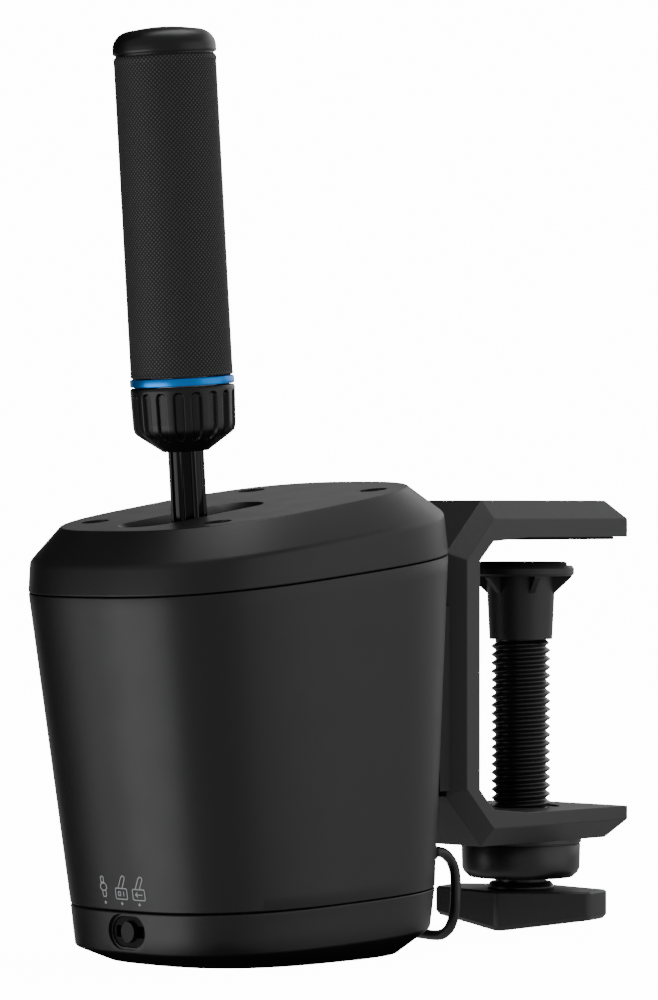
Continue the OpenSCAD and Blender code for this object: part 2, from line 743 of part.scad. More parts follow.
// Circuit board with its chips, its lead's connector and a notch for the mode switch
module main_board() color([0.05, 0.3, 0.16]) placed() translate([base_x, 0, board_z]) {
  difference() {
    translate([-board_len / 2, -board_wid / 2, 0]) cube([board_len, board_wid, board_t]);
    at_corners(board_screw_dx, board_screw_dy) translate([0, 0, -board_t])
      cylinder(h = 3 * board_t, r = pilot_r + 0.2);
  }
  translate([-0.9 * chip_side, -chip_side / 2, board_t - eps]) cube([chip_side, chip_side, chip_h]);
  translate([1.2 * small_chip, 0.8 * small_chip, board_t - eps])
    cube([1.2 * small_chip, small_chip, 0.9 * chip_h]);
  translate([board_len / 2 - 1.15 * socket_len, -socket_wid, board_t - eps])
    cube([socket_len, socket_wid, small_chip]);
  translate([-board_len / 2 + socket_wid, -0.3 * chip_side, board_t - eps])
    cube([small_chip, 0.9 * socket_wid, 0.8 * small_chip]);
}

module board_screws() color([0.55, 0.55, 0.57]) placed()
  translate([base_x, 0, board_z + board_t + small_head_h]) at_corners(board_screw_dx, board_screw_dy)
    socket_screw(pilot_r, small_head_r, small_head_h, board_t + board_bite, small_hex);

// Body of the slide switch: a nose that fills the window, and the track that the knob runs in
module mode_switch() color([0.06, 0.06, 0.06]) placed()
  translate([switch_face, window_y, window_z]) difference() {
    union() {
      rotate([90, 0, 90]) linear_extrude(height = switch_nose + 0.1)
        stadium(window_w - 2 * fit_loose, window_h - 2 * fit_loose);
      translate([switch_nose, -switch_wid / 2, -switch_high / 2])
        cube([switch_deep - switch_nose, switch_wid, switch_high]);
      translate([switch_deep - eps, -5, board_z + board_t - window_z])
        cube([board_rear - switch_face - switch_deep + 6, 10, 1.8]);
    }
    translate([-1, -(switch_travel + stem_w / 2 + fit_gap), -stem_h / 2 - 0.2])
      cube([stem_deep + 1.3, 2 * (switch_travel + stem_w / 2 + fit_gap), stem_h + 0.4]);
  }

module mode_knob() color([0.09, 0.09, 0.1]) placed()
  translate([switch_face, window_y, window_z]) {
    difference() {
      translate([-knob_out - 0.1, 0, 0]) rotate([0, 90, 0]) cylinder(h = knob_out, d = knob_w);
      // A step down on the left leaves an upright edge for the finger
      translate([-knob_out - 1.1, 0.9, -knob_w]) cube([1.8, knob_w, 2 * knob_w]);
    }
    translate([-0.1 - eps, -stem_w / 2, -stem_h / 2]) cube([stem_deep + 0.1, stem_w, stem_h]);
  }

module mounting_plate() color([0.1, 0.1, 0.11]) placed() difference() {
  translate([front_reach + boss_out, -boss_wid / 2 - 1, boss_z - boss_h / 2 - 1])
    cube([plate_t, boss_wid + 2, boss_h + 2]);
  translate([0, 0, boss_z]) rotate([0, 90, 0]) at_corners(mount_dz, mount_dy)
    cylinder(h = post_in + 9, r = mount_screw_r + fit_loose);
}

module mounting_screws() color([0.07, 0.07, 0.08]) placed()
  translate([post_in - 0.6, 0, boss_z]) rotate([0, 90, 0]) at_corners(mount_dz, mount_dy)
    socket_screw(mount_screw_r, mount_head_r, mount_head_h,
                 post_in - 0.6 - mount_head_h - front_wall_x - 1, 4);

// Outer outline of the clamp seen from the side, with its long edges moved in by a bevel
function clamp_outline(post_in_by, arm_in_by, tip_in_by) = [
  [post_back + post_in_by, arm_top - corner_out - 0.4 * arm_in_by],
  [post_back + corner_out + 0.1 * post_in_by, arm_top - arm_in_by],
  [arm_tip - tip_in_by, arm_top - arm_in_by],
  [arm_tip - (tip_in_by > 1 ? 0 : tip_in_by), arm_top - clamp_bevel],
  [arm_tip - (tip_in_by > 1 ? 0 : tip_in_by), low_arm_under + clamp_bevel],
  [arm_tip - tip_in_by, low_arm_under + arm_in_by],
  [post_back + corner_out + 0.1 * post_in_by, low_arm_under + arm_in_by],
  [post_back + post_in_by, low_arm_under + corner_out + 0.4 * arm_in_by]
];

module clamp_frame() color([0.14, 0.14, 0.15]) placed() difference() {
  rotate([90, 0, 0]) hull() {
    linear_extrude(height = clamp_w - 2 * clamp_bevel_in, center = true)
      polygon(clamp_outline(0, 0, clamp_bevel));
    linear_extrude(height = clamp_w, center = true)
      polygon(clamp_outline(4, clamp_bevel, 0.5));
  }
  rotate([90, 0, 0]) linear_extrude(height = clamp_w + 2, center = true) polygon([
    [post_in, arm_under - corner_in - 0.8], [post_in + corner_in, arm_under - 1.2],
    [post_in + 3.6 * corner_in, arm_under], [arm_tip + 9, arm_under],
    [arm_tip + 9, low_arm_top], [post_in + 3.6 * corner_in, low_arm_top],
    [post_in + corner_in, low_arm_top + 1.6], [post_in, low_arm_top + corner_in + 1.8]
  ]);
  translate([screw_x, 0, low_arm_under - 2]) cylinder(h = low_arm_t + 4, r = nut_sleeve_r + fit_loose);
  translate([0, 0, boss_z]) rotate([0, 90, 0]) at_corners(mount_dz, mount_dy) {
    cylinder(h = post_in + 9, r = mount_screw_r + fit_loose);
    translate([0, 0, post_in - 0.6 - mount_head_h]) cylinder(h = 20, r = mount_head_r + 0.3);
  }
}

module jaw_pad() color([0.06, 0.06, 0.06]) placed()
  translate([post_in + 3.8 * corner_in + pad_corner, pad_corner - pad_wid / 2, jaw_z])
    linear_extrude(height = jaw_pad_t)
      corner_plate(arm_tip - 2 - post_in - 3.8 * corner_in, pad_wid, pad_corner);

// Rectangle with round corners, drawn from the centre of its first corner
module corner_plate(length, width, r) {
  translate([-r, 0]) square([length, width - 2 * r]);
  translate([0, -r]) square([length - 2 * r, width]);
  for (x = [0, length - 2 * r], y = [0, width - 2 * r]) translate([x, y]) circle(r = r);
}

// Nut: a sleeve up through the lower arm, a thin ring against it and a bevelled body
module clamp_nut() color([0.11, 0.11, 0.12]) placed() translate([screw_x, 0, 0])
  rotate_extrude() polygon([
    [screw_d / 2 + fit_slide, nut_foot], [nut_d / 2 - 2.4, nut_foot], [nut_d / 2 - 0.6, nut_foot + 1.6],
    [nut_d / 2, nut_foot + 3], [nut_d / 2 + 0.2, low_arm_under - nut_ring_h - 0.3],
    [nut_d / 2 - 0.3, low_arm_under - nut_ring_h - 0.3], [nut_d / 2 - 0.3, low_arm_under - nut_ring_h],
    [nut_d / 2 + 0.5, low_arm_under - nut_ring_h], [nut_d / 2 + 0.5, low_arm_under],
    [nut_sleeve_r, low_arm_under], [nut_sleeve_r, low_arm_top - 0.6],
    [screw_d / 2 + fit_slide, low_arm_top - 0.6]
  ]);

// Fluted rod of the lever, from its socket in the hub up into the grip
module lever_rod() color([0.05, 0.05, 0.06]) placed() on_lever() difference() {
  translate([0, 0, rod_foot]) cylinder(h = rod_top - rod_foot, d = rod_d);
  for (i = [0 : rod_flutes - 1]) rotate([0, 0, 360 * (i + 0.5) / rod_flutes])
    translate([rod_d / 2 + 0.35, 0, hub_top + 12]) cylinder(h = rod_top, r = flute_r, $fn = 24);
  translate([0, 0, bolt_h]) rotate([90, 0, 0])
    cylinder(h = rod_d + 2, r = mount_screw_r + 0.1, center = true);
}

module lever_hub() color([0.42, 0.43, 0.45]) placed() on_lever() difference() {
  union() {
    rotate([90, 0, 0]) cylinder(h = hub_wid, r = hub_foot, center = true);
    translate([-hub_len / 2, -hub_wid / 2, 0]) cube([hub_len, hub_wid, hub_top]);
  }
  rotate([90, 0, 0]) cylinder(h = hub_wid + 2, d = axle_d + 0.02, center = true);
  translate([0, 0, rod_foot]) cylinder(h = hub_top, d = rod_d + 0.1);
  translate([0, 0, bolt_h]) rotate([90, 0, 0]) {
    cylinder(h = hub_wid + 2, r = mount_screw_r + fit_loose, center = true);
    translate([0, 0, hub_wid / 2 - mount_head_h + 0.4]) cylinder(h = 9, r = mount_head_r + 0.3);
  }
}

module hub_bolt() color([0.3, 0.3, 0.32]) placed() on_lever()
  translate([0, -hub_wid / 2, bolt_h]) rotate([90, 0, 0]) translate([0, 0, 0.4])
    socket_screw(mount_screw_r, mount_head_r, mount_head_h, hub_wid - mount_head_h, 4);

module pivot_axle() color([0.62, 0.62, 0.64]) placed() on_lever() rotate([90, 0, 0]) difference() {
  cylinder(h = 2 * axle_half, d = axle_d, center = true);
  for (s = [-1, 1]) translate([0, 0, s * clip_y]) difference() {
    cylinder(h = clip_t + 0.1, d = axle_d + 2, center = true);
    cylinder(h = 2 * clip_t, d = axle_d - 1.6, center = true);
  }
}

// Retaining rings in the axle's two grooves, each open on one side
module axle_clips() color([0.3, 0.3, 0.32]) placed() on_lever()
  for (s = [-1, 1]) translate([0, s * clip_y, 0]) rotate([90, 0, 0]) difference() {
    cylinder(h = clip_t, d = axle_d + 5, center = true);
    cylinder(h = 2 * clip_t, d = axle_d - 1.5, center = true);
    translate([0, -axle_d * 0.36, -clip_t]) cube([axle_d, axle_d * 0.72, 2 * clip_t]);
  }

module sensor_magnet() color([0.7, 0.7, 0.72]) placed() on_lever()
  translate([0, axle_half, 0]) rotate([-90, 0, 0]) cylinder(h = magnet_t, r = magnet_r);

// Curved apron about the pivot that keeps dust out of the slot as the lever swings
module slot_shield() color([0.07, 0.07, 0.07]) placed() on_lever() difference() {
  union() {
    rotate([90, 0, 0]) translate([0, 0, -shield_wid / 2]) rotate([0, 0, 90 - shield_half])
      rotate_extrude(angle = 2 * shield_half)
        translate([shield_r - shield_t, 0]) square([shield_t, shield_wid]);
    translate([0, 0, shield_r - shield_t - 4]) cylinder(h = 5, r = rod_d / 2 + 2.2);
  }
  translate([0, 0, shield_r - 12]) cylinder(h = 24, d = rod_d + 0.2);
}

// Tube of the grip that slides on the rod, with a narrower nose inside the lock collar
module grip_core() color([0.2, 0.2, 0.21]) placed() on_lever() rotate_extrude() polygon([
  [rod_d / 2 + fit_slide, nose_foot], [nose_r, nose_foot], [nose_r, sleeve_foot - 0.1],
  [core_r, sleeve_foot - 0.1], [core_r, sleeve_top - 0.1], [spigot_r, sleeve_top - 0.1],
  [spigot_r, sleeve_top - spigot_h], [rod_d / 2 + fit_slide, sleeve_top - spigot_h]
]);

module grip_sleeve() color([0.11, 0.11, 0.12]) placed() on_lever() rotate_extrude() polygon([
  [core_r + 0.1, sleeve_foot], [grip_d / 2 - 0.5, sleeve_foot], [grip_d / 2, sleeve_foot + 0.5],
  [grip_d / 2, sleeve_top - 0.9], [grip_d / 2 - 0.7, sleeve_top], [core_r + 0.1, sleeve_top]
]);

// Domed cap: upright wall, round shoulder and shallow crown
module grip_cap() color([0.1, 0.1, 0.11]) placed() on_lever() translate([0, 0, sleeve_top]) {
  r = grip_d / 2 + 0.1;
  round_r = min(5.2, cap_h - 2);
  rotate_extrude() polygon(concat(
    [[0, 0], [r - 0.7, 0], [r - 0.7, 0.6], [r, 0.9]],
    [for (a = [0 : 10 : 90]) [r - round_r + round_r * cos(a), cap_h - 0.5 - round_r + round_r * sin(a)]],
    [[r * 0.4, cap_h - 0.1], [0, cap_h]]
  ));
  translate([0, 0, -spigot_h + 0.5]) cylinder(h = spigot_h - 0.4, r = spigot_r - 0.1);
}

module accent_ring() color([0.03, 0.3, 0.6]) placed() on_lever() translate([0, 0, ring_foot])
  rotate_extrude() polygon([
    [nose_r + 0.1, 0], [grip_d / 2 - 0.1, 0], [grip_d / 2 + 0.25, 0.35],
    [grip_d / 2 + 0.25, ring_h - 0.35], [grip_d / 2 - 0.1, ring_h], [nose_r + 0.1, ring_h]
  ]);

// Split cone that the collar presses on to the rod
module collet() color([0.5, 0.5, 0.52]) placed() on_lever() difference() {
  rotate_extrude() polygon([
    [rod_d / 2 + 0.1, collar_foot + 1.2], [rod_d / 2 + 1.2, collar_foot + 1.2],
    [nose_r - 1.6, nose_foot], [rod_d / 2 + 0.1, nose_foot]
  ]);
  translate([0, -0.6, collar_foot]) cube([grip_d, 1.2, collar_cone_h * 3]);
}

// Collar with round-topped flutes over a cone, hollow for the grip's nose and the collet
module lock_collar() color([0.12, 0.12, 0.13]) placed() on_lever() difference() {
  rotate_extrude() polygon([
    [rod_d / 2 + fit_gap, collar_foot], [7.05, collar_foot], [grip_d / 2 - 1, collar_foot + collar_cone_h],
    [grip_d / 2 - 0.1, collar_foot + collar_cone_h + 0.7], [grip_d / 2 + 0.35, collar_top - 0.6],
    [grip_d / 2 - 0.2, collar_top], [nose_r + fit_loose, collar_top],
    [nose_r + fit_loose, nose_foot - 0.4], [rod_d / 2 + 1.6, collar_foot + 1],
    [rod_d / 2 + fit_gap, collar_foot + 1]
  ]);
  for (i = [0 : collar_flutes - 1]) rotate([0, 0, 360 * i / collar_flutes])
    translate([grip_d / 2 + 0.5, 0, 0]) {
      translate([0, 0, collar_foot + 2])
        cylinder(h = collar_top - collar_foot - 5.2, r = collar_flute_r, $fn = 24);
      translate([0, 0, collar_top - 3.2]) sphere(r = collar_flute_r, $fn = 24);
    }
}

// Foot of the clamp: flange, ribs and the tapered socket that the screw turns in
module foot_socket() color([0.08, 0.08, 0.08]) placed() translate([screw_x, 0, 0]) {
  rotate_extrude() polygon([
    [neck_d / 2 + fit_slide, foot_foot], [socket_foot_r, foot_foot],
    [socket_top_r, flange_top - flange_t], [foot_d / 2 - 0.6, flange_top - flange_t],
    [foot_d / 2, flange_top - flange_t + 0.7], [foot_d / 2, flange_top - 0.9],
    [foot_d / 2 - 0.6, flange_top], [pad_r + 0.2, flange_top], [pad_r + 0.2, flange_top - pad_seat],
    [0, flange_top - pad_seat], [0, neck_top + fit_gap], [neck_d / 2 + fit_slide, neck_top + fit_gap]
  ]);
  for (i = [0 : rib_n - 1]) rotate([90, 0, 360 * i / rib_n]) linear_extrude(height = rib_t, center = true)
    polygon([[socket_foot_r - 0.4, flange_top - flange_t + 0.2],
             [foot_d / 2 - 0.7, flange_top - flange_t + 0.2],
             [foot_d / 2 - 0.7, flange_top - flange_t - 0.4],
             [socket_top_r - 0.1, flange_top - flange_t - rib_h],
             [socket_foot_r - 0.4, flange_top - flange_t - rib_h]]);
}

module foot_pad() color([0.05, 0.05, 0.05]) placed()
  translate([screw_x, 0, flange_top - pad_seat]) rotate_extrude() polygon([
    [0, 0], [pad_r, 0], [pad_r, foot_top - flange_top + pad_seat - 0.5],
    [pad_r - 0.5, foot_top - flange_top + pad_seat], [0, foot_top - flange_top + pad_seat]
  ]);

// Screw: neck in the foot, threaded length and the tenon that the handle sits on
module clamp_screw() color([0.08, 0.08, 0.09]) placed() translate([screw_x, 0, 0]) difference() {
  rotate_extrude() polygon([
    [0, tenon_foot], [tenon_r, tenon_foot], [tenon_r, washer_top], [screw_d / 2 - 1, washer_top],
    [screw_d / 2, washer_top + 1], [screw_d / 2, neck_foot - 1], [neck_d / 2, neck_foot],
    [neck_d / 2, neck_top - 0.6], [neck_d / 2 - 0.6, neck_top], [0, neck_top]
  ]);
  translate([0, 0, tenon_foot - 1]) cylinder(h = 12, r = handle_bolt_r + 0.1);
}

module handle_washer() color([0.1, 0.1, 0.11]) placed() translate([screw_x, 0, wing_top])
  rotate_extrude() polygon([
    [tenon_r + 0.1, 0], [washer_r, 0], [washer_r, 0.7], [washer_r - 1, washer_h], [tenon_r + 0.1, washer_h]
  ]);

// Wing handle: six rounded corners, thick in the middle and thin at the two tips
module screw_handle() color([0.13, 0.13, 0.14]) placed()
  translate([screw_x, 0, wing_top]) rotate([0, 0, wing_turn]) difference() {
    hull() {
      for (s = [-1, 1], t = [-1, 1])
        translate([s * (wing_len / 2 - wing_corner_r), t * (wing_end_wid / 2 - wing_corner_r), 0])
          wing_corner(wing_end_h);
      for (t = [-1, 1]) translate([0, t * (wing_wid / 2 - wing_corner_r), 0]) wing_corner(wing_h);
    }
    translate([0, 0, tenon_foot - wing_top - 0.2]) cylinder(h = 20, r = tenon_r + 0.1);
    translate([0, 0, -wing_h - 1]) {
      cylinder(h = wing_h, r = handle_bolt_r + fit_loose);
      cylinder(h = bolt_recess + 1, r = head_r + 0.6);
    }
  }

module wing_corner(height) {
  translate([0, 0, -0.6]) cylinder(h = 0.6, r1 = wing_corner_r, r2 = wing_corner_r - 0.6, $fn = 24);
  translate([0, 0, -height + 1.4]) cylinder(h = height - 2, r = wing_corner_r, $fn = 24);
  translate([0, 0, -height]) cylinder(h = 1.4, r1 = wing_corner_r - 1.2, r2 = wing_corner_r, $fn = 24);
}

module handle_bolt() color([0.07, 0.07, 0.08]) placed()
  translate([screw_x, 0, wing_top - wing_h + bolt_recess - head_h]) mirror([0, 0, 1])
    socket_screw(handle_bolt_r, head_r, head_h, wing_h - bolt_recess + 2, 3);

// Short tapered relief in the front wall
module cable_relief() color([0.06, 0.06, 0.06]) placed() translate([0, exit_y, exit_z])
  rotate([0, 90, 0]) {
    wall_x = front_at(exit_y, exit_z);
    translate([0, 0, wall_x - wall - 5]) cylinder(h = 1.6, r = 4.6);
    translate([0, 0, wall_x - wall - 5]) cylinder(h = wall + 6, r = 3.5);
    translate([0, 0, wall_x + 0.9]) cylinder(h = lead_route[0][0] - wall_x - 0.9, r1 = 3.5, r2 = 2.3);
  }

function unit(v) = v / norm(v);
function heading(p, k) = unit(p[min(k + 1, len(p) - 1)] - p[max(k - 1, 0)]);

// Directions along and across a route, carried from point to point so the tube never twists
function carry(p, k, u) =
  k >= len(p) ? [] :
  let (t = heading(p, k), w = unit(u - t * (u * t)))
  concat([[t, w]], carry(p, k + 1, w));

// Rings of n points of a tube of radius r along a route that starts out level
function route_rings(p, r, n) =
  let (frames = carry(p, 0, [0, 0, 1]))
  [for (k = [0 : len(p) - 1])
    let (u = frames[k][1], v = cross(frames[k][0], u))
    [for (i = [0 : n - 1]) p[k] + r * (cos(360 * i / n) * u + sin(360 * i / n) * v)]];

function route_length(p) =
  [for (k = [1 : len(p) - 1]) norm(p[k] - p[k - 1])] * [for (k = [1 : len(p) - 1]) 1];

module usb_cable() color([0.06, 0.06, 0.06]) placed() {
  loft(route_rings(lead_route, cable_d / 2, 8));
  loft(route_rings(tail_route, cable_d / 2, 8));
}

// The coil spirals in and out by turns, and climbs a layer in the half turn where it reverses
function coil_radius(s) =
  let (m = s / coil_turns_layer, w = m - 2 * floor(m / 2))
  coil_out_r - (w < 1 ? w : 2 - w) * coil_turns_layer * coil_pitch;
function ease(x) = x <= 0 ? 0 : x >= 1 ? 1 : x * x * (3 - 2 * x);
function coil_rise(s) =
  coil_pitch * (ease(2 * (s - coil_turns_layer) + 0.5) + ease(2 * (s - 2 * coil_turns_layer) + 0.5)
    + ease(2 * (s - 3 * coil_turns_layer) + 0.5));
coil_path = [
  for (k = [0 : coil_turns * coil_rings])
    let (s = k / coil_rings, r = coil_radius(s))
    [coil_x + r * cos(360 * s), coil_y + r * sin(360 * s), coil_z + coil_rise(s)]
];
coil_route = concat(
  [coil_path[0] - [0, cable_d, 0]], coil_path, [coil_path[len(coil_path) - 1] + [0, cable_d, 0]]
);
// Least gap of the coil to itself, on points half a turn or more apart
coil_gap = min([
  for (i = [0 : 3 : len(coil_path) - 1], j = [i + coil_rings / 2 : len(coil_path) - 1])
    norm(coil_path[i] - coil_path[j])
]) - cable_d;

module cable_coil() color([0.06, 0.06, 0.06]) placed() {
  echo(coil_gap = coil_gap);
  echo(cable_length = route_length(lead_route) + route_length(coil_route) + route_length(tail_route));
  loft(route_rings(coil_route, cable_d / 2, 6));
}

// Strap round the coil's turns, with its locking head on the outside
module cable_tie() color([0.05, 0.05, 0.05]) placed()
  translate([coil_x, coil_y, coil_z - cable_d / 2 - 0.1]) rotate([0, 0, tie_turn]) {
    inner = coil_out_r - coil_turns_layer * coil_pitch - cable_d / 2 - 0.2;
    span = coil_out_r + cable_d / 2 + 0.2 - inner;
    high = (coil_layers - 1) * coil_pitch + cable_d + 0.2;
    difference() {
      translate([inner - tie_t, -tie_w / 2, -tie_t]) cube([span + 2 * tie_t, tie_w, high + 2 * tie_t]);
      translate([inner, -tie_w, 0]) cube([span, 2 * tie_w, high]);
    }
    translate([inner + span + tie_t - eps, -tie_w * 0.7, high / 2 - 2]) cube([3, tie_w * 1.4, 4.4]);
  }

// Overmoulded plug with its tapered relief, lying on the floor beside the coil
module plug_body() color([0.07, 0.07, 0.07]) placed() translate(plug_axis) rotate([0, -90, 0]) {
  cylinder(h = plug_relief + eps, r1 = cable_d / 2 + 0.4, r2 = 3.2);
  translate([0, 0, plug_relief]) linear_extrude(height = plug_len)
    translate([-plug_high / 2, -plug_wid / 2]) translate([plug_corner, plug_corner])
      corner_plate(plug_high, plug_wid, plug_corner);
}

// Metal shell of the plug, open at its mouth, over the contact tongue
module plug_shell() color([0.7, 0.7, 0.72]) placed()
  translate(plug_axis) rotate([0, -90, 0]) translate([0, 0, plug_relief + plug_len]) difference() {
    translate([-shell_high / 2, -shell_wid / 2, 0]) cube([shell_high, shell_wid, shell_len]);
    translate([-shell_high / 2 + 1.9 + shell_t, -shell_wid / 2 + shell_t, 1])
      cube([shell_high - 1.9 - 2 * shell_t, shell_wid - 2 * shell_t, shell_len]);
  }

main_housing();
top_cover();
base_cover();
cover_screws();
base_screws();
rig_inserts();
pivot_frame();
axle_bushes();
stop_buffers();
return_springs();
spring_guides();
angle_sensor();
sensor_screws();
main_board();
board_screws();
mode_switch();
mode_knob();
mounting_plate();
mounting_screws();
clamp_frame();
jaw_pad();
clamp_nut();
lever_rod();
lever_hub();
hub_bolt();
pivot_axle();
axle_clips();
sensor_magnet();
slot_shield();
grip_core();
grip_sleeve();
grip_cap();
accent_ring();
collet();
lock_collar();
foot_socket();
foot_pad();
clamp_screw();
handle_washer();
screw_handle();
handle_bolt();
cable_relief();
usb_cable();
cable_coil();
cable_tie();
plug_body();
plug_shell();
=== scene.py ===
"""Looks of a simulator gear shifter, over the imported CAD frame.

Lengths in this file are millimetres in the part's drawing frame, whose origin is at the lever's
slot. place() moves them to the row frame, where the origin is the upper jaw's pad, in metres.
"""

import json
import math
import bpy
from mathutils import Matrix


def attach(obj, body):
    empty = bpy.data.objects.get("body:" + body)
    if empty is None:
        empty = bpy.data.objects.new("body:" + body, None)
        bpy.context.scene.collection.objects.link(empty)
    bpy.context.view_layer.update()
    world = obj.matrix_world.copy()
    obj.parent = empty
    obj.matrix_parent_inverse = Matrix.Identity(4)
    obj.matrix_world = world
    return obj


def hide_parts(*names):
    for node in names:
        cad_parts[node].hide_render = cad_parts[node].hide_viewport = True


bl_info = {
    "name": "Simulator Gear Shifter",
    "version": (1, 0, 0),
    "blender": (4, 5, 0),
    "location": "View3D > Sidebar > Shifter",
    "description": "Builds the looks of a desk-clamped simulator gear shifter",
    "category": "Object",
}

import bmesh
import bpy
import numpy as np

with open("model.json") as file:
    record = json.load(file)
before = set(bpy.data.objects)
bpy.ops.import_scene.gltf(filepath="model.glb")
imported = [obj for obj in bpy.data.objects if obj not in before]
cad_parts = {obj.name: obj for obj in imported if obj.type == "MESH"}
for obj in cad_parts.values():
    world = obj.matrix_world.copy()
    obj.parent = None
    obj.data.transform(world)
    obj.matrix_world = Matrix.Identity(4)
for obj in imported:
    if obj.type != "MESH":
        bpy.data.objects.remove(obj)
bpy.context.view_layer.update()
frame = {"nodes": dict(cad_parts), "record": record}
BODY_OF = {n: b for b, ns in frame["record"]["behaviour"]["bodies"].items() for n in ns}

SCREW_X = 146.9  # axis of the clamp's screw
ORIGIN = np.array([-SCREW_X, 0.0, 9.2])  # drawing frame to row frame
SQUARENESS = 2.83  # exponent of the housing's superellipses
LEAN = math.radians(4.33)  # of the lever at rest, towards the switch's side
PIVOT = np.array([5.81, 0.0, -84.0])  # middle of the lever's axle

# Outlines of the housing: length, width, middle along X, level, slope in degrees
JOINT_TOP = np.array([126.8, 96.2, 20.9, -18.4, 5.9])
JOINT_LOW = np.array([110.0, 84.2, 26.7, -113.6, 1.8])
SHOULDER = np.array([123.2, 96.8, 20.2, -7.8, 7.9])
FACE = np.array([103.9, 80.2, 18.6, 1.3, 8.1])
BASE_SHOULDER = np.array([108.2, 81.2, 26.7, -125.7, 1.8])
SOLE = np.array([86.0, 67.0, 26.7, -131.6, 0.0])
WALL = 2.6
FLOOR_LEVEL = (SOLE[3] + ORIGIN[2]) * 0.001 - 0.0002  # metres, a hair under the sole
CORNER_STEPS = 7  # points on each rounded corner of an outline
# Level of the upper joint at the housing's front, and the height of the wall there
FRONT_TOP, FRONT_HEIGHT = -24.9, 90.4

# Half the distances between screws, inserts or posts, along and across the housing
COVER_SCREWS = (32.8, 25.15)
BASE_SCREWS = (30, 21)
RIG_INSERTS = (18, 14)
BOARD_POSTS = (24, 11)
SCREW_HOLE, SCREW_POST = 2.15, 5.4  # radii

# Middle and travel of the lever's slot, and middle of the switch's window, across and up
SLOT_X, SLOT_TRAVEL = 0.45, 35
WINDOW = (-1.9, -121.2)

# Grip: foot of its ring, foot and top of its sleeve along the lever, radius, height of a diamond
RING_FOOT, SLEEVE_FOOT, SLEEVE_TOP = 120.7, 123.2, 216.5
GRIP_R = 15
KNURL_PITCH = 1.25

# Route of the cable in the drawing frame, as in the part's source
LEAD = [
    (86, -18, -103.4), (88, -18, -103.4), (90, -18, -103.8), (92, -18, -104.8),
    (93.7, -18, -106.3), (95, -18, -108.3), (95.7, -18, -110.5), (96, -18, -113),
    (96, -18, -116), (96, -17.9, -119), (96.1, -17.4, -122), (96.3, -16.4, -125),
    (96.7, -14.4, -127.7), (97.2, -11.4, -129.4), (98, -7.5, -130), (99.3, -1.5, -130),
    (101, 5, -130), (103.4, 12, -130), (106.2, 19, -130), (109.2, 26, -130),
    (112.2, 33, -130), (115, 40, -130), (117.4, 46.5, -130), (119.2, 52.5, -129.7),
    (120.2, 57.5, -129.3), (120.5, 61, -129.2), (120.5, 64.8, -129.2),
]
TAIL = [
    (120.5, 71.2, -118.1), (120.5, 74, -118.1), (120.5, 77.5, -118.6), (120.5, 81.3, -119.7),
    (120.4, 85, -121.1), (119.6, 89.6, -123), (117.7, 93.8, -124.9), (114.7, 97.5, -126.3),
    (110.9, 100.4, -127.2), (107.6, 102.2, -127.6), (104.8, 103, -127.6), (102.5, 103, -127.6),
]
# Nut of the clamp: radius, foot, underside of the arm, top of the sleeve, bore and sleeve radius
NUT = (18.5, -115.1, -102.8, -93.5, 9.33, 12)
COIL = {"x": 95.5, "y": 68.0, "z": -129.2, "out": 25.0, "layers": 4, "turns": 3.5, "pitch": 3.7}


def place(points):
    """Drawing frame in millimetres to row frame in metres: add the origin's offset, times 0.001."""
    return (np.asarray(points, float) + ORIGIN) * 0.001


def on_lever(points):
    """Lever frame (z along the lever, from the pivot) to the drawing frame.

    It is turned about Y by the lean, (c x - s z, y, s x + c z), and moved to the pivot.
    """
    p = np.asarray(points, float)
    c, s = math.cos(LEAN), math.sin(LEAN)
    turned = np.stack([c * p[..., 0] - s * p[..., 2], p[..., 1], s * p[..., 0] + c * p[..., 2]], -1)
    return turned + PIVOT


# Materials


def linear(code):
    """sRGB hex to linear: v / 12.92 up to 0.04045, else ((v + 0.055) / 1.055) ** 2.4."""
    channels = [int(code[i : i + 2], 16) / 255 for i in (1, 3, 5)]
    return [v / 12.92 if v <= 0.04045 else ((v + 0.055) / 1.055) ** 2.4 for v in channels] + [1.0]


def hex_code(colour):
    """sRGB hex of a colour given as three sRGB numbers from 0 to 1."""
    return "#" + "".join("%02x" % round(v * 255) for v in colour)


def add(tree, kind, inputs=None, **settings):
    """One node with its settings; an input is a value, or a socket that is linked to it."""
    made = tree.nodes.new(kind)
    for key, value in settings.items():
        setattr(made, key, value)
    for key, value in (inputs or {}).items():
        if isinstance(value, bpy.types.NodeSocket):
            tree.links.new(value, made.inputs[key])
        else:
            made.inputs[key].default_value = value
    return made


def principled(name, code, roughness, metallic=0.0, ior=1.5):
    """A material with its Principled shader, and the tree that textures are added to."""
    material = bpy.data.materials.new(name)
    material.use_nodes = True
    tree = material.node_tree
    shader = tree.nodes["Principled BSDF"]
    shader.inputs["Base Color"].default_value = linear(code)
    shader.inputs["Roughness"].default_value = roughness
    shader.inputs["Metallic"].default_value = metallic
    if metallic < 0.5:
        shader.inputs["IOR"].default_value = ior
    material.diffuse_color = linear(code)
    return material, tree, shader


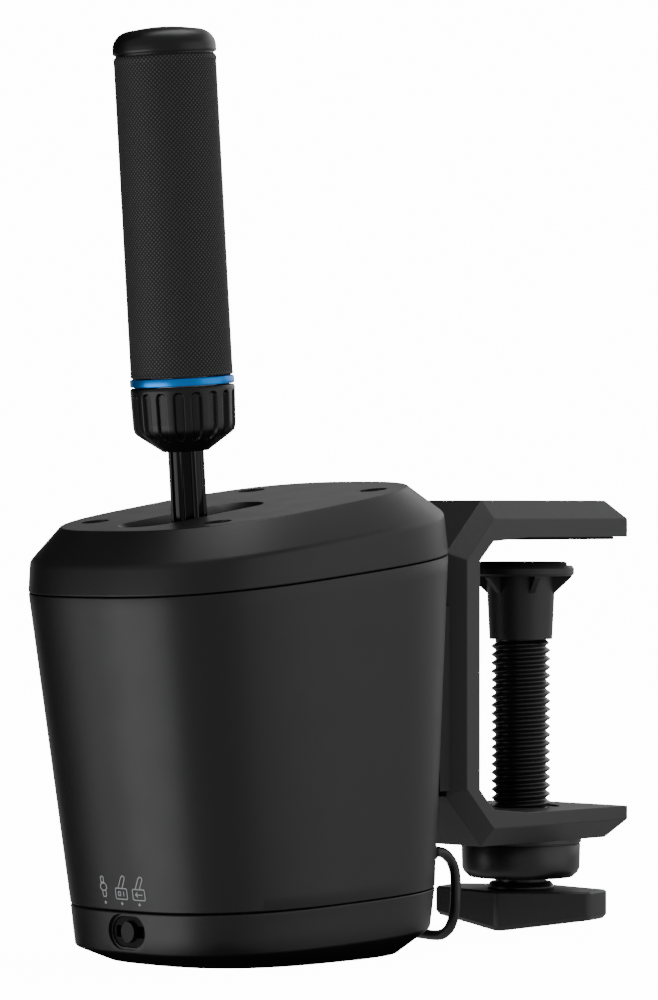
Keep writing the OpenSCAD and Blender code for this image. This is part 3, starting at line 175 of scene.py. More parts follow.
def grained(name, code, roughness, size, depth, spread=0.04, **more):
    """A surface with grain of the given size and depth in millimetres, whose roughness varies."""
    material, tree, shader = principled(name, code, roughness, **more)
    coords = add(tree, "ShaderNodeTexCoord")
    noise = add(tree, "ShaderNodeTexNoise", {"Vector": coords.outputs["Object"],
                                             "Scale": 1000 / size, "Detail": 2.0,
                                             "Roughness": 0.6})
    bump = add(tree, "ShaderNodeBump", {"Height": noise.outputs["Fac"], "Distance": depth * 0.001,
                                        "Strength": 1.0})
    tree.links.new(bump.outputs["Normal"], shader.inputs["Normal"])
    handled = add(tree, "ShaderNodeTexNoise", {"Vector": coords.outputs["Object"], "Scale": 90.0,
                                               "Detail": 3.0})
    vary = add(tree, "ShaderNodeMapRange", {"Value": handled.outputs["Fac"],
                                            "To Min": roughness - spread,
                                            "To Max": roughness + spread})
    tree.links.new(vary.outputs["Result"], shader.inputs["Roughness"])
    return material


def knurled(name, code, around, pitch, foot):
    """Grip with painted shade in its grooves, which are black and dull, and painted highlights on
    its ridges, which are lighter and glossier.

    The height is the lower of two zigzags that run up to the left and to the right.
    With a the angle about the lever and z the height over the sleeve's foot, the zigzags are
    those of a * around / 360 plus and minus z / pitch, 0 in a groove and 1 on a ridge, as in
    the relief.
    """
    material, tree, shader = principled(name, code, 0.4, ior=1.5)
    coords = add(tree, "ShaderNodeTexCoord")
    centre = place(PIVOT)
    c, s = math.cos(LEAN), math.sin(LEAN)
    turned = (c * centre[0] + s * centre[2], centre[1],
              c * centre[2] - s * centre[0] + foot * 0.001)
    lever = add(tree, "ShaderNodeMapping", {"Vector": coords.outputs["Object"],
                                            "Rotation": (0, LEAN, 0),
                                            "Location": tuple(-v for v in turned)})
    axes = add(tree, "ShaderNodeSeparateXYZ", {"Vector": lever.outputs["Vector"]})
    maths = "ShaderNodeMath"
    angle = add(tree, maths, {0: axes.outputs["Y"], 1: axes.outputs["X"]}, operation="ARCTAN2")
    turn = add(tree, maths, {0: angle.outputs[0], 1: around / math.tau}, operation="MULTIPLY")
    climb = add(tree, maths, {0: axes.outputs["Z"], 1: 1000 / pitch}, operation="MULTIPLY")
    waves = []
    for operation in ("ADD", "SUBTRACT"):
        way = add(tree, maths, {0: turn.outputs[0], 1: climb.outputs[0]}, operation=operation)
        waves.append(add(tree, maths, {0: way.outputs[0], 1: 0.5}, operation="PINGPONG"))
    lower = add(tree, maths, {0: waves[0].outputs[0], 1: waves[1].outputs[0]},
                operation="MINIMUM")
    height = add(tree, maths, {0: lower.outputs[0], 1: 2.0}, operation="MULTIPLY")
    # Painted shade and painted highlight: black in the grooves, the grip's colour on the ridges
    shade = add(tree, "ShaderNodeMix", {"Factor": height.outputs[0], "A": linear("#000000"),
                                        "B": linear(code)}, data_type="RGBA")
    tree.links.new(shade.outputs["Result"], shader.inputs["Base Color"])
    dull = add(tree, "ShaderNodeMapRange", {"Value": height.outputs[0], "To Min": 1.0,
                                            "To Max": 0.3})
    tree.links.new(dull.outputs["Result"], shader.inputs["Roughness"])
    return material


MATERIALS = {}  # filled by the stage's step, which comes first


def make_materials(look):
    """All surfaces, each named for what the real one is."""
    m = MATERIALS
    housing = hex_code(look.housing_colour)
    # Moulded ABS with a fine eroded grain: matte, with a soft broad sheen
    m["abs"] = grained("moulded_abs_black", housing, 0.4, 0.45, 0.010, ior=1.4)
    m["abs_small"] = grained("moulded_abs_small", "#090909", 0.5, 0.3, 0.006, ior=1.36)
    # Powder coat on cast aluminium: fine orange peel, slightly lighter than the plastic
    m["coat"] = grained("powder_coat_black", "#28282a", 0.46, 0.5, 0.016, ior=1.48)
    # Glass-filled nylon of the foot: satin, faint flow texture
    m["nylon"] = grained("moulded_nylon_black", "#1c1c1d", 0.46, 0.8, 0.006, ior=1.45)
    # Black oxide on turned steel: dark with an oily sheen
    m["oxide"] = grained("black_oxide_steel", "#111111", 0.38, 1.2, 0.004, ior=1.5)
    # Bare heads of the socket screws: worn to metal, so they glint
    m["head"] = grained("worn_steel_heads", "#6a6a6c", 0.3, 0.6, 0.003, metallic=1.0)
    # Anodised aluminium, dyed black: satin with a tight highlight
    m["anodised"] = grained("anodised_aluminium_black", "#0c0c0d", 0.36, 0.2, 0.002, ior=1.4)
    # Black chrome: near-black, mirrors the lights as thin stripes
    m["rod"] = grained("polished_black_chrome", "#020202", 0.1, 3.0, 0.001, 0.02, ior=1.27)
    # Dyed anodising: saturated, with the metal's glint
    m["blue"] = grained("anodised_aluminium_blue", "#007cd4", 0.3, 0.3, 0.002, metallic=0.8)
    # Moulded rubber: dull black
    m["rubber"] = grained("moulded_rubber_black", "#050505", 0.7, 0.4, 0.01, ior=1.3)
    # Cable jacket of soft PVC: smooth with a soft sheen
    m["jacket"] = grained("pvc_cable_jacket", "#0e0e0f", 0.38, 0.8, 0.004, ior=1.5)
    # Moulded diamonds of the grip: lighter ridges that are partly painted highlight, and black
    # grooves that are painted shade
    m["knurl"] = knurled("diamond_grip_painted_groove_shade", "#3c3c3e", look.knurl_count, KNURL_PITCH,
                         SLEEVE_FOOT)
    # Metals of the inner parts: drawn wire, blasted sheet and turned bar, each with the fine
    # marks of its tool
    m["steel"] = grained("plain_steel", "#a9a9ab", 0.3, 1.0, 0.002, metallic=1.0)
    m["chassis"] = grained("blasted_steel", "#8b8c8f", 0.45, 0.4, 0.004, metallic=1.0)
    m["alloy"] = grained("turned_aluminium", "#c8c8ca", 0.32, 0.8, 0.002, metallic=1.0)
    m["brass"] = grained("turned_brass", "#c9a25a", 0.3, 0.8, 0.002, metallic=1.0)
    # Circuit board under solder mask: green, semi-gloss, with the weave faintly showing
    m["board"] = grained("solder_mask_green", "#0f4a2a", 0.4, 0.5, 0.004)
    # Pad-printed ink: light grey with a thin edge of unevenness
    m["print"] = grained("pad_print_grey", "#98999b", 0.6, 0.2, 0.003)


# CAD nodes that are shown as they are, and their surfaces
SURFACE_OF = {
    "cover_screws": "head", "base_screws": "oxide", "rig_inserts": "brass",
    "pivot_frame": "chassis", "axle_bushes": "brass", "stop_buffers": "rubber",
    "return_springs": "steel", "spring_guides": "steel", "angle_sensor": "board",
    "sensor_screws": "steel", "main_board": "board", "board_screws": "steel",
    "mode_switch": "rubber", "mounting_screws": "oxide", "lever_hub": "chassis",
    "hub_bolt": "oxide", "pivot_axle": "steel", "axle_clips": "oxide",
    "sensor_magnet": "steel", "slot_shield": "rubber", "grip_core": "alloy", "collet": "steel",
    "foot_pad": "rubber", "handle_bolt": "oxide", "jaw_pad": "rubber",
}

# Meshes


def object_from(name, vertices, faces, material, body, angle=30.0):
    """A mesh object in metres that rides on a body.

    Its faces point outwards, and it is smooth but for edges over the angle in degrees.
    """
    mesh = bpy.data.meshes.new(name)
    mesh.from_pydata(vertices.tolist(), [], faces)
    work = bmesh.new()
    work.from_mesh(mesh)
    bmesh.ops.remove_doubles(work, verts=work.verts, dist=1e-7)
    bmesh.ops.recalc_face_normals(work, faces=work.faces)
    work.to_mesh(mesh)
    work.free()
    made = bpy.data.objects.new(name, mesh)
    bpy.context.scene.collection.objects.link(made)
    if material:
        mesh.materials.append(MATERIALS[material])
    smooth(mesh, angle)
    if body:
        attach(made, body)
    return made


def smooth(mesh, angle):
    """Smooth shading that breaks at edges over the angle in degrees."""
    mesh.polygons.foreach_set("use_smooth", np.ones(len(mesh.polygons), bool))
    mesh.set_sharp_from_angle(angle=math.radians(angle))
    mesh.update()


def grid_faces(rows, cols, loop=False):
    """Quads between neighbouring points of a grid that closes round its columns.

    Its rows close too, or else the first and the last row are each filled by one face.
    """
    r = np.arange(rows if loop else rows - 1)[:, None]
    c = np.arange(cols)[None, :]
    a, b = r * cols + c, r * cols + (c + 1) % cols
    up = ((r + 1) % rows) * cols
    quads = np.stack([a, b, up + (c + 1) % cols, up + c], -1).reshape(-1, 4).tolist()
    if not loop:
        quads += [list(range(cols))[::-1], [(rows - 1) * cols + i for i in range(cols)]]
    return quads


def skin(name, rows, material, body, loop=False, angle=30.0):
    """A closed skin over rings of points, an array of rings x points x 3 in millimetres."""
    rows = np.asarray(rows, float)
    faces = grid_faces(rows.shape[0], rows.shape[1], loop)
    return object_from(name, place(rows.reshape(-1, 3)), faces, material, body, angle)


def ovals(sections, cols=256):
    """Rings of superellipses on planes that slope along X.

    x = a * cos^(2/n) and y = b * sin^(2/n), each with its sign, z = level + x * tan(slope).
    """
    t = np.linspace(0, math.tau, cols, endpoint=False)
    c, s = np.cos(t), np.sin(t)
    power = 2 / SQUARENESS
    sections = np.asarray(sections, float)
    x = sections[:, :1] / 2 * np.sign(c) * np.abs(c) ** power
    y = sections[:, 1:2] / 2 * np.sign(s) * np.abs(s) ** power
    z = sections[:, 3:4] + x * np.tan(np.radians(sections[:, 4:5]))
    return np.stack([sections[:, 2:3] + x, y, z], -1)


def inset(section, by, lift=0.0):
    """The outline moved in by a distance and up by another."""
    return section + np.array([-2 * by, -2 * by, 0, lift, 0])


def rounded(sections, trims, steps=CORNER_STEPS):
    """Sections with each corner replaced by a quadratic curve from a trim before to a trim after.

    A curve point is (1-t)^2 P0 + 2t(1-t) P1 + t^2 P2, with P0 and P2 on the two legs of the
    corner P1.
    """
    out = [sections[0]]
    t = np.linspace(0, 1, steps)[:, None]
    for before, corner, after, trim in zip(sections, sections[1:], sections[2:], trims):
        ends = []
        for other in (before, after):
            leg = math.hypot((other[0] - corner[0]) / 2, other[3] - corner[3])
            ends.append(corner + (other - corner) * min(trim / max(leg, 1e-6), 0.49))
        out.extend((1 - t) ** 2 * ends[0] + 2 * t * (1 - t) * corner + t**2 * ends[1])
    out.append(sections[-1])
    return np.array(out)


def revolved(profile, cols=128):
    """Rings about the lever's axis from (radius, height) pairs, in the lever frame."""
    profile = np.asarray(profile, float)
    t = np.linspace(0, math.tau, cols, endpoint=False)
    r, z = profile[:, :1], profile[:, 1:]
    return np.stack([r * np.cos(t), r * np.sin(t), z + 0 * t], -1)


def carve(target, tools, operation="DIFFERENCE", angle=30.0):
    """Cuts the tools out of the target, or joins them to it, and removes them."""
    for tool in tools:
        change = target.modifiers.new("carve", "BOOLEAN")
        change.operation = operation
        change.solver = "EXACT"
        change.object = tool
        with bpy.context.temp_override(object=target, active_object=target,
                                       selected_editable_objects=[target]):
            bpy.ops.object.modifier_apply(modifier=change.name)
        bpy.data.objects.remove(tool)
    smooth(target.data, angle)


def drum(x, y, low, high, radius, cols=48):
    """An upright cylinder as a tool."""
    t = np.linspace(0, math.tau, cols, endpoint=False)
    rows = [np.column_stack([x + radius * np.cos(t), y + radius * np.sin(t), np.full(cols, z)])
            for z in (low, high)]
    return skin("tool", rows, None, None)


def drum_x(y, z, low, high, radius, cols=48):
    """A cylinder along X as a tool."""
    t = np.linspace(0, math.tau, cols, endpoint=False)
    rows = [np.column_stack([np.full(cols, x), y + radius * np.cos(t), z + radius * np.sin(t)])
            for x in (low, high)]
    return skin("tool", rows, None, None)


def box_mesh(name, low, high, material, body):
    """A box from its two corners in the drawing frame."""
    x = np.array([low, high], float)
    ring = [(0, 0), (1, 0), (1, 1), (0, 1)]
    rows = [[(x[i, 0], x[j, 1], x[k, 2]) for i, j in ring] for k in (0, 1)]
    return skin(name, rows, material, body)


def corners(half):
    """The four places (x, y) at half the distances to all sides."""
    return [(i * half[0], j * half[1]) for i in (-1, 1) for j in (-1, 1)]


def zigzag(x):
    """0 at whole numbers, 1 halfway between them, straight in between."""
    return 1 - np.abs(2 * (x % 1) - 1)


def stadium(length, width, cols=64):
    """Points of a slot outline with round ends, along the first axis."""
    t = (np.arange(cols) + 0.5) / cols * math.tau
    c = np.cos(t)
    return np.stack([np.sign(c) * (length - width) / 2 + c * width / 2, np.sin(t) * width / 2], -1)


def dressed(node, material, width=0.0, angle=20.0, steps=2):
    """A copy of a CAD node with its triangles merged, its flats joined and its edges rounded."""
    source = frame["nodes"][node].data
    points = np.zeros(len(source.vertices) * 3)
    source.vertices.foreach_get("co", points)
    faces = [list(p.vertices) for p in source.polygons]
    made = object_from(node + "_look", points.reshape(-1, 3), faces, material, BODY_OF[node],
                       angle)
    work = bmesh.new()
    work.from_mesh(made.data)
    bmesh.ops.remove_doubles(work, verts=work.verts, dist=2e-6)
    bmesh.ops.dissolve_limit(work, angle_limit=math.radians(0.4), verts=work.verts,
                             edges=work.edges)
    work.to_mesh(made.data)
    work.free()
    smooth(made.data, angle)
    if width:
        soften(made, width, angle, steps)
    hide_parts(node)
    return made


def soften(piece, width, angle=25.0, steps=2):
    """Rounds the piece's edges over the angle by a width in millimetres."""
    edge = piece.modifiers.new("edges", "BEVEL")
    edge.width = width * 0.001
    edge.segments = steps
    edge.limit_method = "ANGLE"
    edge.angle_limit = math.radians(angle)
    edge.harden_normals = True
    edge.miter_outer = "MITER_ARC"


# Groups


class ShifterLook(bpy.types.PropertyGroup):
    """Sizes and colours that a user would change"""

    housing_colour: bpy.props.FloatVectorProperty(
        name="Housing colour", description="sRGB colour of the moulded housing",
        subtype="COLOR_GAMMA", size=3, min=0, max=1, default=(0.08, 0.08, 0.082))
    knurl_count: bpy.props.IntProperty(
        name="Grip texture count", description="Diamonds round the grip", default=76, min=40,
        max=80)
    edge_width: bpy.props.FloatProperty(
        name="Clamp edge", description="Width of the clamp's rounded edges", default=0.0005,
        min=0.0001, max=0.002, unit="LENGTH", precision=4)
    thread_pitch: bpy.props.FloatProperty(
        name="Thread pitch", description="Pitch of the clamp screw", default=0.00265, min=0.001,
        max=0.004, unit="LENGTH", precision=5)
    cable_diameter: bpy.props.FloatProperty(
        name="Cable diameter", description="Outer diameter of the cable", default=0.0032, min=0.002,
        max=0.006, unit="LENGTH", precision=4)
    floor_colour: bpy.props.FloatVectorProperty(
        name="Floor colour", description="sRGB colour of the floor", subtype="COLOR_GAMMA",
        size=3, min=0, max=1, default=(0.957, 0.957, 0.957))


def resampled(points, steps):
    """A Catmull-Rom curve through the route, with so many steps from each point to the next.

    Half of 2b + (c - a) t + (2a - 5b + 4c - d) t^2 + (3b - a - 3c + d) t^3 from b to c.
    """
    p = np.asarray(points, float)
    p = np.vstack([2 * p[0] - p[1], p, 2 * p[-1] - p[-2]])
    t = (np.arange(steps) / steps)[None, :, None]
    a, b, c, d = (p[i : len(p) - 3 + i, None, :] for i in range(4))
    curve = 0.5 * (2 * b + (c - a) * t + (2 * a - 5 * b + 4 * c - d) * t**2
                   + (3 * b - a - 3 * c + d) * t**3)
    return np.vstack([curve.reshape(-1, 3), p[-2]])


def coil_points():
    """The coil, whose radius runs in and out by one pitch a turn.

    It climbs to the next layer by an S-shaped step where the radius turns back.
    """
    steps = 32
    turns = COIL["layers"] * COIL["turns"]
    s = np.arange(int(turns * steps) + 1) / steps
    way = s / COIL["turns"] % 2
    radius = COIL["out"] - np.where(way < 1, way, 2 - way) * COIL["turns"] * COIL["pitch"]
    rise = 0
    for layer in range(1, COIL["layers"]):
        x = np.clip(2 * (s - layer * COIL["turns"]) + 0.5, 0, 1)
        rise = rise + COIL["pitch"] * x * x * (3 - 2 * x)
    return np.column_stack([COIL["x"] + radius * np.cos(math.tau * s),
                            COIL["y"] + radius * np.sin(math.tau * s), COIL["z"] + rise])


class SHIFTER_OT_cable(bpy.types.Operator):
    """Cable with its coil, tie, plug and relief"""

    bl_idname = "shifter.cable"
    bl_label = "Cable"

    def execute(self, context):
        look = context.scene.shifter_look
        route = np.vstack([resampled(LEAD, 5), coil_points(), resampled(TAIL, 5)])
        keep = np.r_[True, np.linalg.norm(np.diff(route, axis=0), axis=1) > 0.05]
        route = place(route[keep])
        curve = bpy.data.curves.new("cable", "CURVE")
        curve.dimensions = "3D"
        curve.bevel_depth = look.cable_diameter / 2
        curve.bevel_resolution = 3
        curve.use_fill_caps = True
        spline = curve.splines.new("POLY")
        spline.points.add(len(route) - 1)
        spline.points.foreach_set("co", np.column_stack([route, np.ones(len(route))]).ravel())
        spline.use_smooth = True
        curve.materials.append(MATERIALS["jacket"])
        cable = bpy.data.objects.new("cable", curve)
        bpy.context.scene.collection.objects.link(cable)
        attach(cable, "root")
        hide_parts("usb_cable", "cable_coil")
        plug = dressed("plug_body", "abs_small", width=0.8, steps=3)
        tie = dressed("cable_tie", "abs_small", width=0.15)
        shell = dressed("plug_shell", "steel", width=0.3)
        relief = dressed("cable_relief", "rubber", width=0.3)
        return {"FINISHED"}


class SHIFTER_OT_housing(bpy.types.Operator):
    """Housing with its top cover and base cover"""

    bl_idname = "shifter.housing"
    bl_label = "Housing"

    def execute(self, context):
        self.middle()
        self.top()
        self.base()
        return {"FINISHED"}

    def middle(self):
        """Straight walls between the joints, with small chamfers, closed over the inside."""
        low, top = JOINT_LOW, JOINT_TOP
        walls = [low + (top - low) * f for f in np.linspace(0.006, 0.994, 24)]
        rows = [inset(low, 0.45, 0.12), inset(low, 0.12, 0.3)] + walls
        rows += [inset(top, 0.12, -0.3), inset(top, 0.45, -0.12), inset(top, WALL, -0.12)]
        rows += [inset(low + (top - low) * f, WALL) for f in (0.75, 0.5, 0.25)]
        rows += [inset(low, WALL, 0.12)]
        shell = skin("housing_shell", ovals(rows), "abs", "root", loop=True)
        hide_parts("main_housing")
        # The boss is dull black rubber, darker than the housing around it, as painted shade in the
        # gap between the housing and the clamp
        boss = box_mesh("housing_boss", (77.0, -20, -84), (85.5, 20, -30), "rubber", "root")
        _, across, level = LEAD[0]
        carve(shell, [drum_x(across, level, 60, 100, 3.6)])
        soften(boss, 0.6)

    def top(self):
        """Band, round shoulder, bevel and sloping face, hollow below, with slot and wells."""
        joint = JOINT_TOP
        rows = [inset(FACE, WALL * 0.6, -WALL), inset(SHOULDER, WALL, -1.5), inset(joint, 4.15, 3),
                inset(joint, 4.15, -3), inset(joint, 3.15, -3), inset(joint, 2.75, 0.12),
                inset(joint, 0.45, 0.12)]
        outside = rounded([inset(joint, 0.12, 0.3), inset(joint, 0, 0.55), SHOULDER, FACE,
                           inset(FACE, 1.6)], [0.2, 1.3, 0.4])
        cover = skin("cover_top", ovals(np.vstack([rows, outside])), "abs", "root")
        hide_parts("top_cover")
        tilt = math.radians(FACE[4])
        slope = math.tan(tilt)
        head = 4.1
        wells = []
        bosses = []
        for along, y in corners(COVER_SCREWS):
            x, seat = FACE[2] + along, FACE[3] + along * slope - 0.9
            bosses.append(drum(x, y, seat - 8.6, seat - 0.6, SCREW_POST))
            wells.append(drum(x, y, seat - 4, seat + 9, head))
            wells.append(drum(x, y, seat - 12, seat - 3, SCREW_HOLE))
        carve(cover, bosses, "UNION")
        level = FACE[3] + (SLOT_X - FACE[2]) * slope
        rings = []
        for width, depth in ((13.2, -9), (13.2, -2.9), (13.6, -2.42), (17.6, -0.3), (18.4, 0.06),
                             (21, 3)):
            x, y = stadium(width + SLOT_TRAVEL, width).T
            rings.append(np.column_stack([SLOT_X + x * math.cos(tilt) - depth * math.sin(tilt), y,
                                          level + x * math.sin(tilt) + depth * math.cos(tilt)]))
        carve(cover, wells + [skin("tool", rings, None, None)])

    def base(self):
        """Band, round shoulder and bevel down to the level sole, hollow above, with a window."""
        joint = JOINT_LOW
        outside = rounded([inset(SOLE, 2), SOLE, BASE_SHOULDER, inset(joint, 0, -0.55),
                           inset(joint, 0.12, -0.3)], [0.4, 1.1, 0.2])
        rows = [inset(joint, 0.45, -0.12), inset(joint, 2.75, -0.12), inset(joint, 2.75, 3),
                inset(joint, 4.15, 3), inset(joint, 4.15, -3), inset(BASE_SHOULDER, WALL, 0),
                inset(SOLE, WALL * 0.6, WALL)]
        # The band's own rows take the place of the last two of the shoulder's corner
        band = [BASE_SHOULDER + (joint - BASE_SHOULDER) * f for f in (0.4, 0.55, 0.7, 0.85)]
        outside = np.vstack([outside[: -CORNER_STEPS - 3], band, outside[-CORNER_STEPS - 1 :]])
        cover = skin("cover_base", ovals(np.vstack([outside, rows])), "abs", "root")
        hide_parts("base_cover")
        middle, sole = SOLE[2], SOLE[3]
        head, insert = 3.9, 3.6
        posts = ((BASE_SCREWS, 1, 23.2, SCREW_POST), (RIG_INSERTS, 1, 8.2, 5.8),
                 (BOARD_POSTS, 1, 9.4, 3.0))
        holes = ((BASE_SCREWS, -1, 6.4, head), (BASE_SCREWS, 6, 30, SCREW_HOLE),
                 (RIG_INSERTS, -1, 7, insert))
        bosses, cuts = ([drum(middle + x, y, sole + low, sole + high, radius)
                         for half, low, high, radius in kind for x, y in corners(half)]
                        for kind in (posts, holes))
        carve(cover, bosses, "UNION")
        for length, width, near, far in ((14.8, 10.4, -34.0, -26.8), (13.4, 9.0, -30.0, -22.4)):
            across, up = (stadium(length, width) + WINDOW).T
            rings = [np.column_stack([np.full(len(up), x), across, up]) for x in (near, far)]
            cuts.append(skin("tool", rings, None, None))
        carve(cover, cuts)


def outline(points, close=True):
    """Line segments from point to point."""
    ends = list(zip(points, points[1:] + points[:1]))
    return ends if close else ends[:-1]


# Own pictograms, drawn about (0, 0) in millimetres, left then up: a turning knob, and a lever that
# leans from a box, with a ring and a bar or with an arrow in the box
LEVER = outline([(1.1, 0.0), (-0.4, 3.1), (-1.0, 3.6), (-1.8, 3.3), (-1.8, 2.7), (-0.5, 0.0)],
                close=False)
BOX = outline([(2.0, -0.1), (-2.0, -0.1), (-2.3, -0.4), (-2.3, -2.9), (-2.0, -3.2), (2.0, -3.2),
               (2.3, -2.9), (2.3, -0.4)])
PICTOGRAMS = (
    outline([(0.9, 1.3), (-0.3, 1.3), (-0.3, 2.7), (0.0, 3.0), (0.6, 3.0), (0.9, 2.7)])
    + outline([(1.3, 0.4), (0.6, 1.1), (-0.6, 1.1), (-1.3, 0.4), (-1.3, -0.4), (-0.6, -1.0),
               (0.6, -1.0), (1.3, -0.4)])
    + outline([(0.5, -1.0), (-0.9, -1.0), (-0.9, -2.4), (-0.6, -2.8), (0.2, -2.8), (0.5, -2.4)]),
    LEVER + BOX + outline([(1.2, -1.1), (0.3, -1.1), (0.3, -2.2), (1.2, -2.2)])
    + outline([(-0.9, -1.1), (-0.9, -2.2)], close=False),
    LEVER + BOX + outline([(1.2, -1.65), (-1.2, -1.65)], close=False)
    + outline([(0.5, -1.0), (1.2, -1.65), (0.5, -2.3)], close=False),
)


def line(start, end, at, width=0.3):
    """A flat strip from start to end, given in (across, up), widened to both sides."""
    a, b = np.array(start, float), np.array(end, float)
    way = (b - a) / np.linalg.norm(b - a)
    side = np.array([-way[1], way[0]]) * width / 2
    a, b = a - way * width / 2, b + way * width / 2
    return np.array([a - side, b - side, b + side, a + side]) + np.array(at)


def dot(at, radius):
    """A small square turned on its corner, which reads as a dot at this size."""
    return np.array([(radius, 0), (0, radius), (-radius, 0), (0, -radius)]) + np.array(at)


class SHIFTER_OT_marks(bpy.types.Operator):
    """Three outline pictograms and dots over the mode switch

    They are thin boxes on the housing's front: x = middle - a * (1 - |y / b|^n)^(1/n).
    """

    bl_idname = "shifter.marks"
    bl_label = "Switch marks"

    def execute(self, context):
        strips = []
        for pictogram, mark_y, dot_y in zip(PICTOGRAMS, (6.0, -1.2, -8.1), (5.8, -1.1, -8.0)):
            strips.append(dot((dot_y, -113.0), 0.5))
            strips += [line(a, b, (mark_y, -108.5)) for a, b in pictogram]
        y, z = np.vstack(strips).T
        down = (FRONT_TOP - z) / FRONT_HEIGHT
        length, width, middle, _, _ = (JOINT_TOP + np.outer(down, JOINT_LOW - JOINT_TOP)).T
        reach = (1 - np.abs(2 * y / width) ** SQUARENESS) ** (1 / SQUARENESS)
        ink = 0.12
        x = middle - length / 2 * reach - ink / 2
        front = np.column_stack([x, y, z]).reshape(-1, 4, 3)
        plates = np.concatenate([front, front + np.array([ink, 0, 0])], 1)
        box = np.array([(0, 1, 2, 3), (7, 6, 5, 4), (0, 4, 5, 1), (1, 5, 6, 2), (2, 6, 7, 3),
                        (3, 7, 4, 0)])
        faces = (np.arange(len(plates))[:, None, None] * 8 + box).reshape(-1, 4).tolist()
        object_from("mode_marks", place(plates.reshape(-1, 3)), faces, "print", "root")
        return {"FINISHED"}


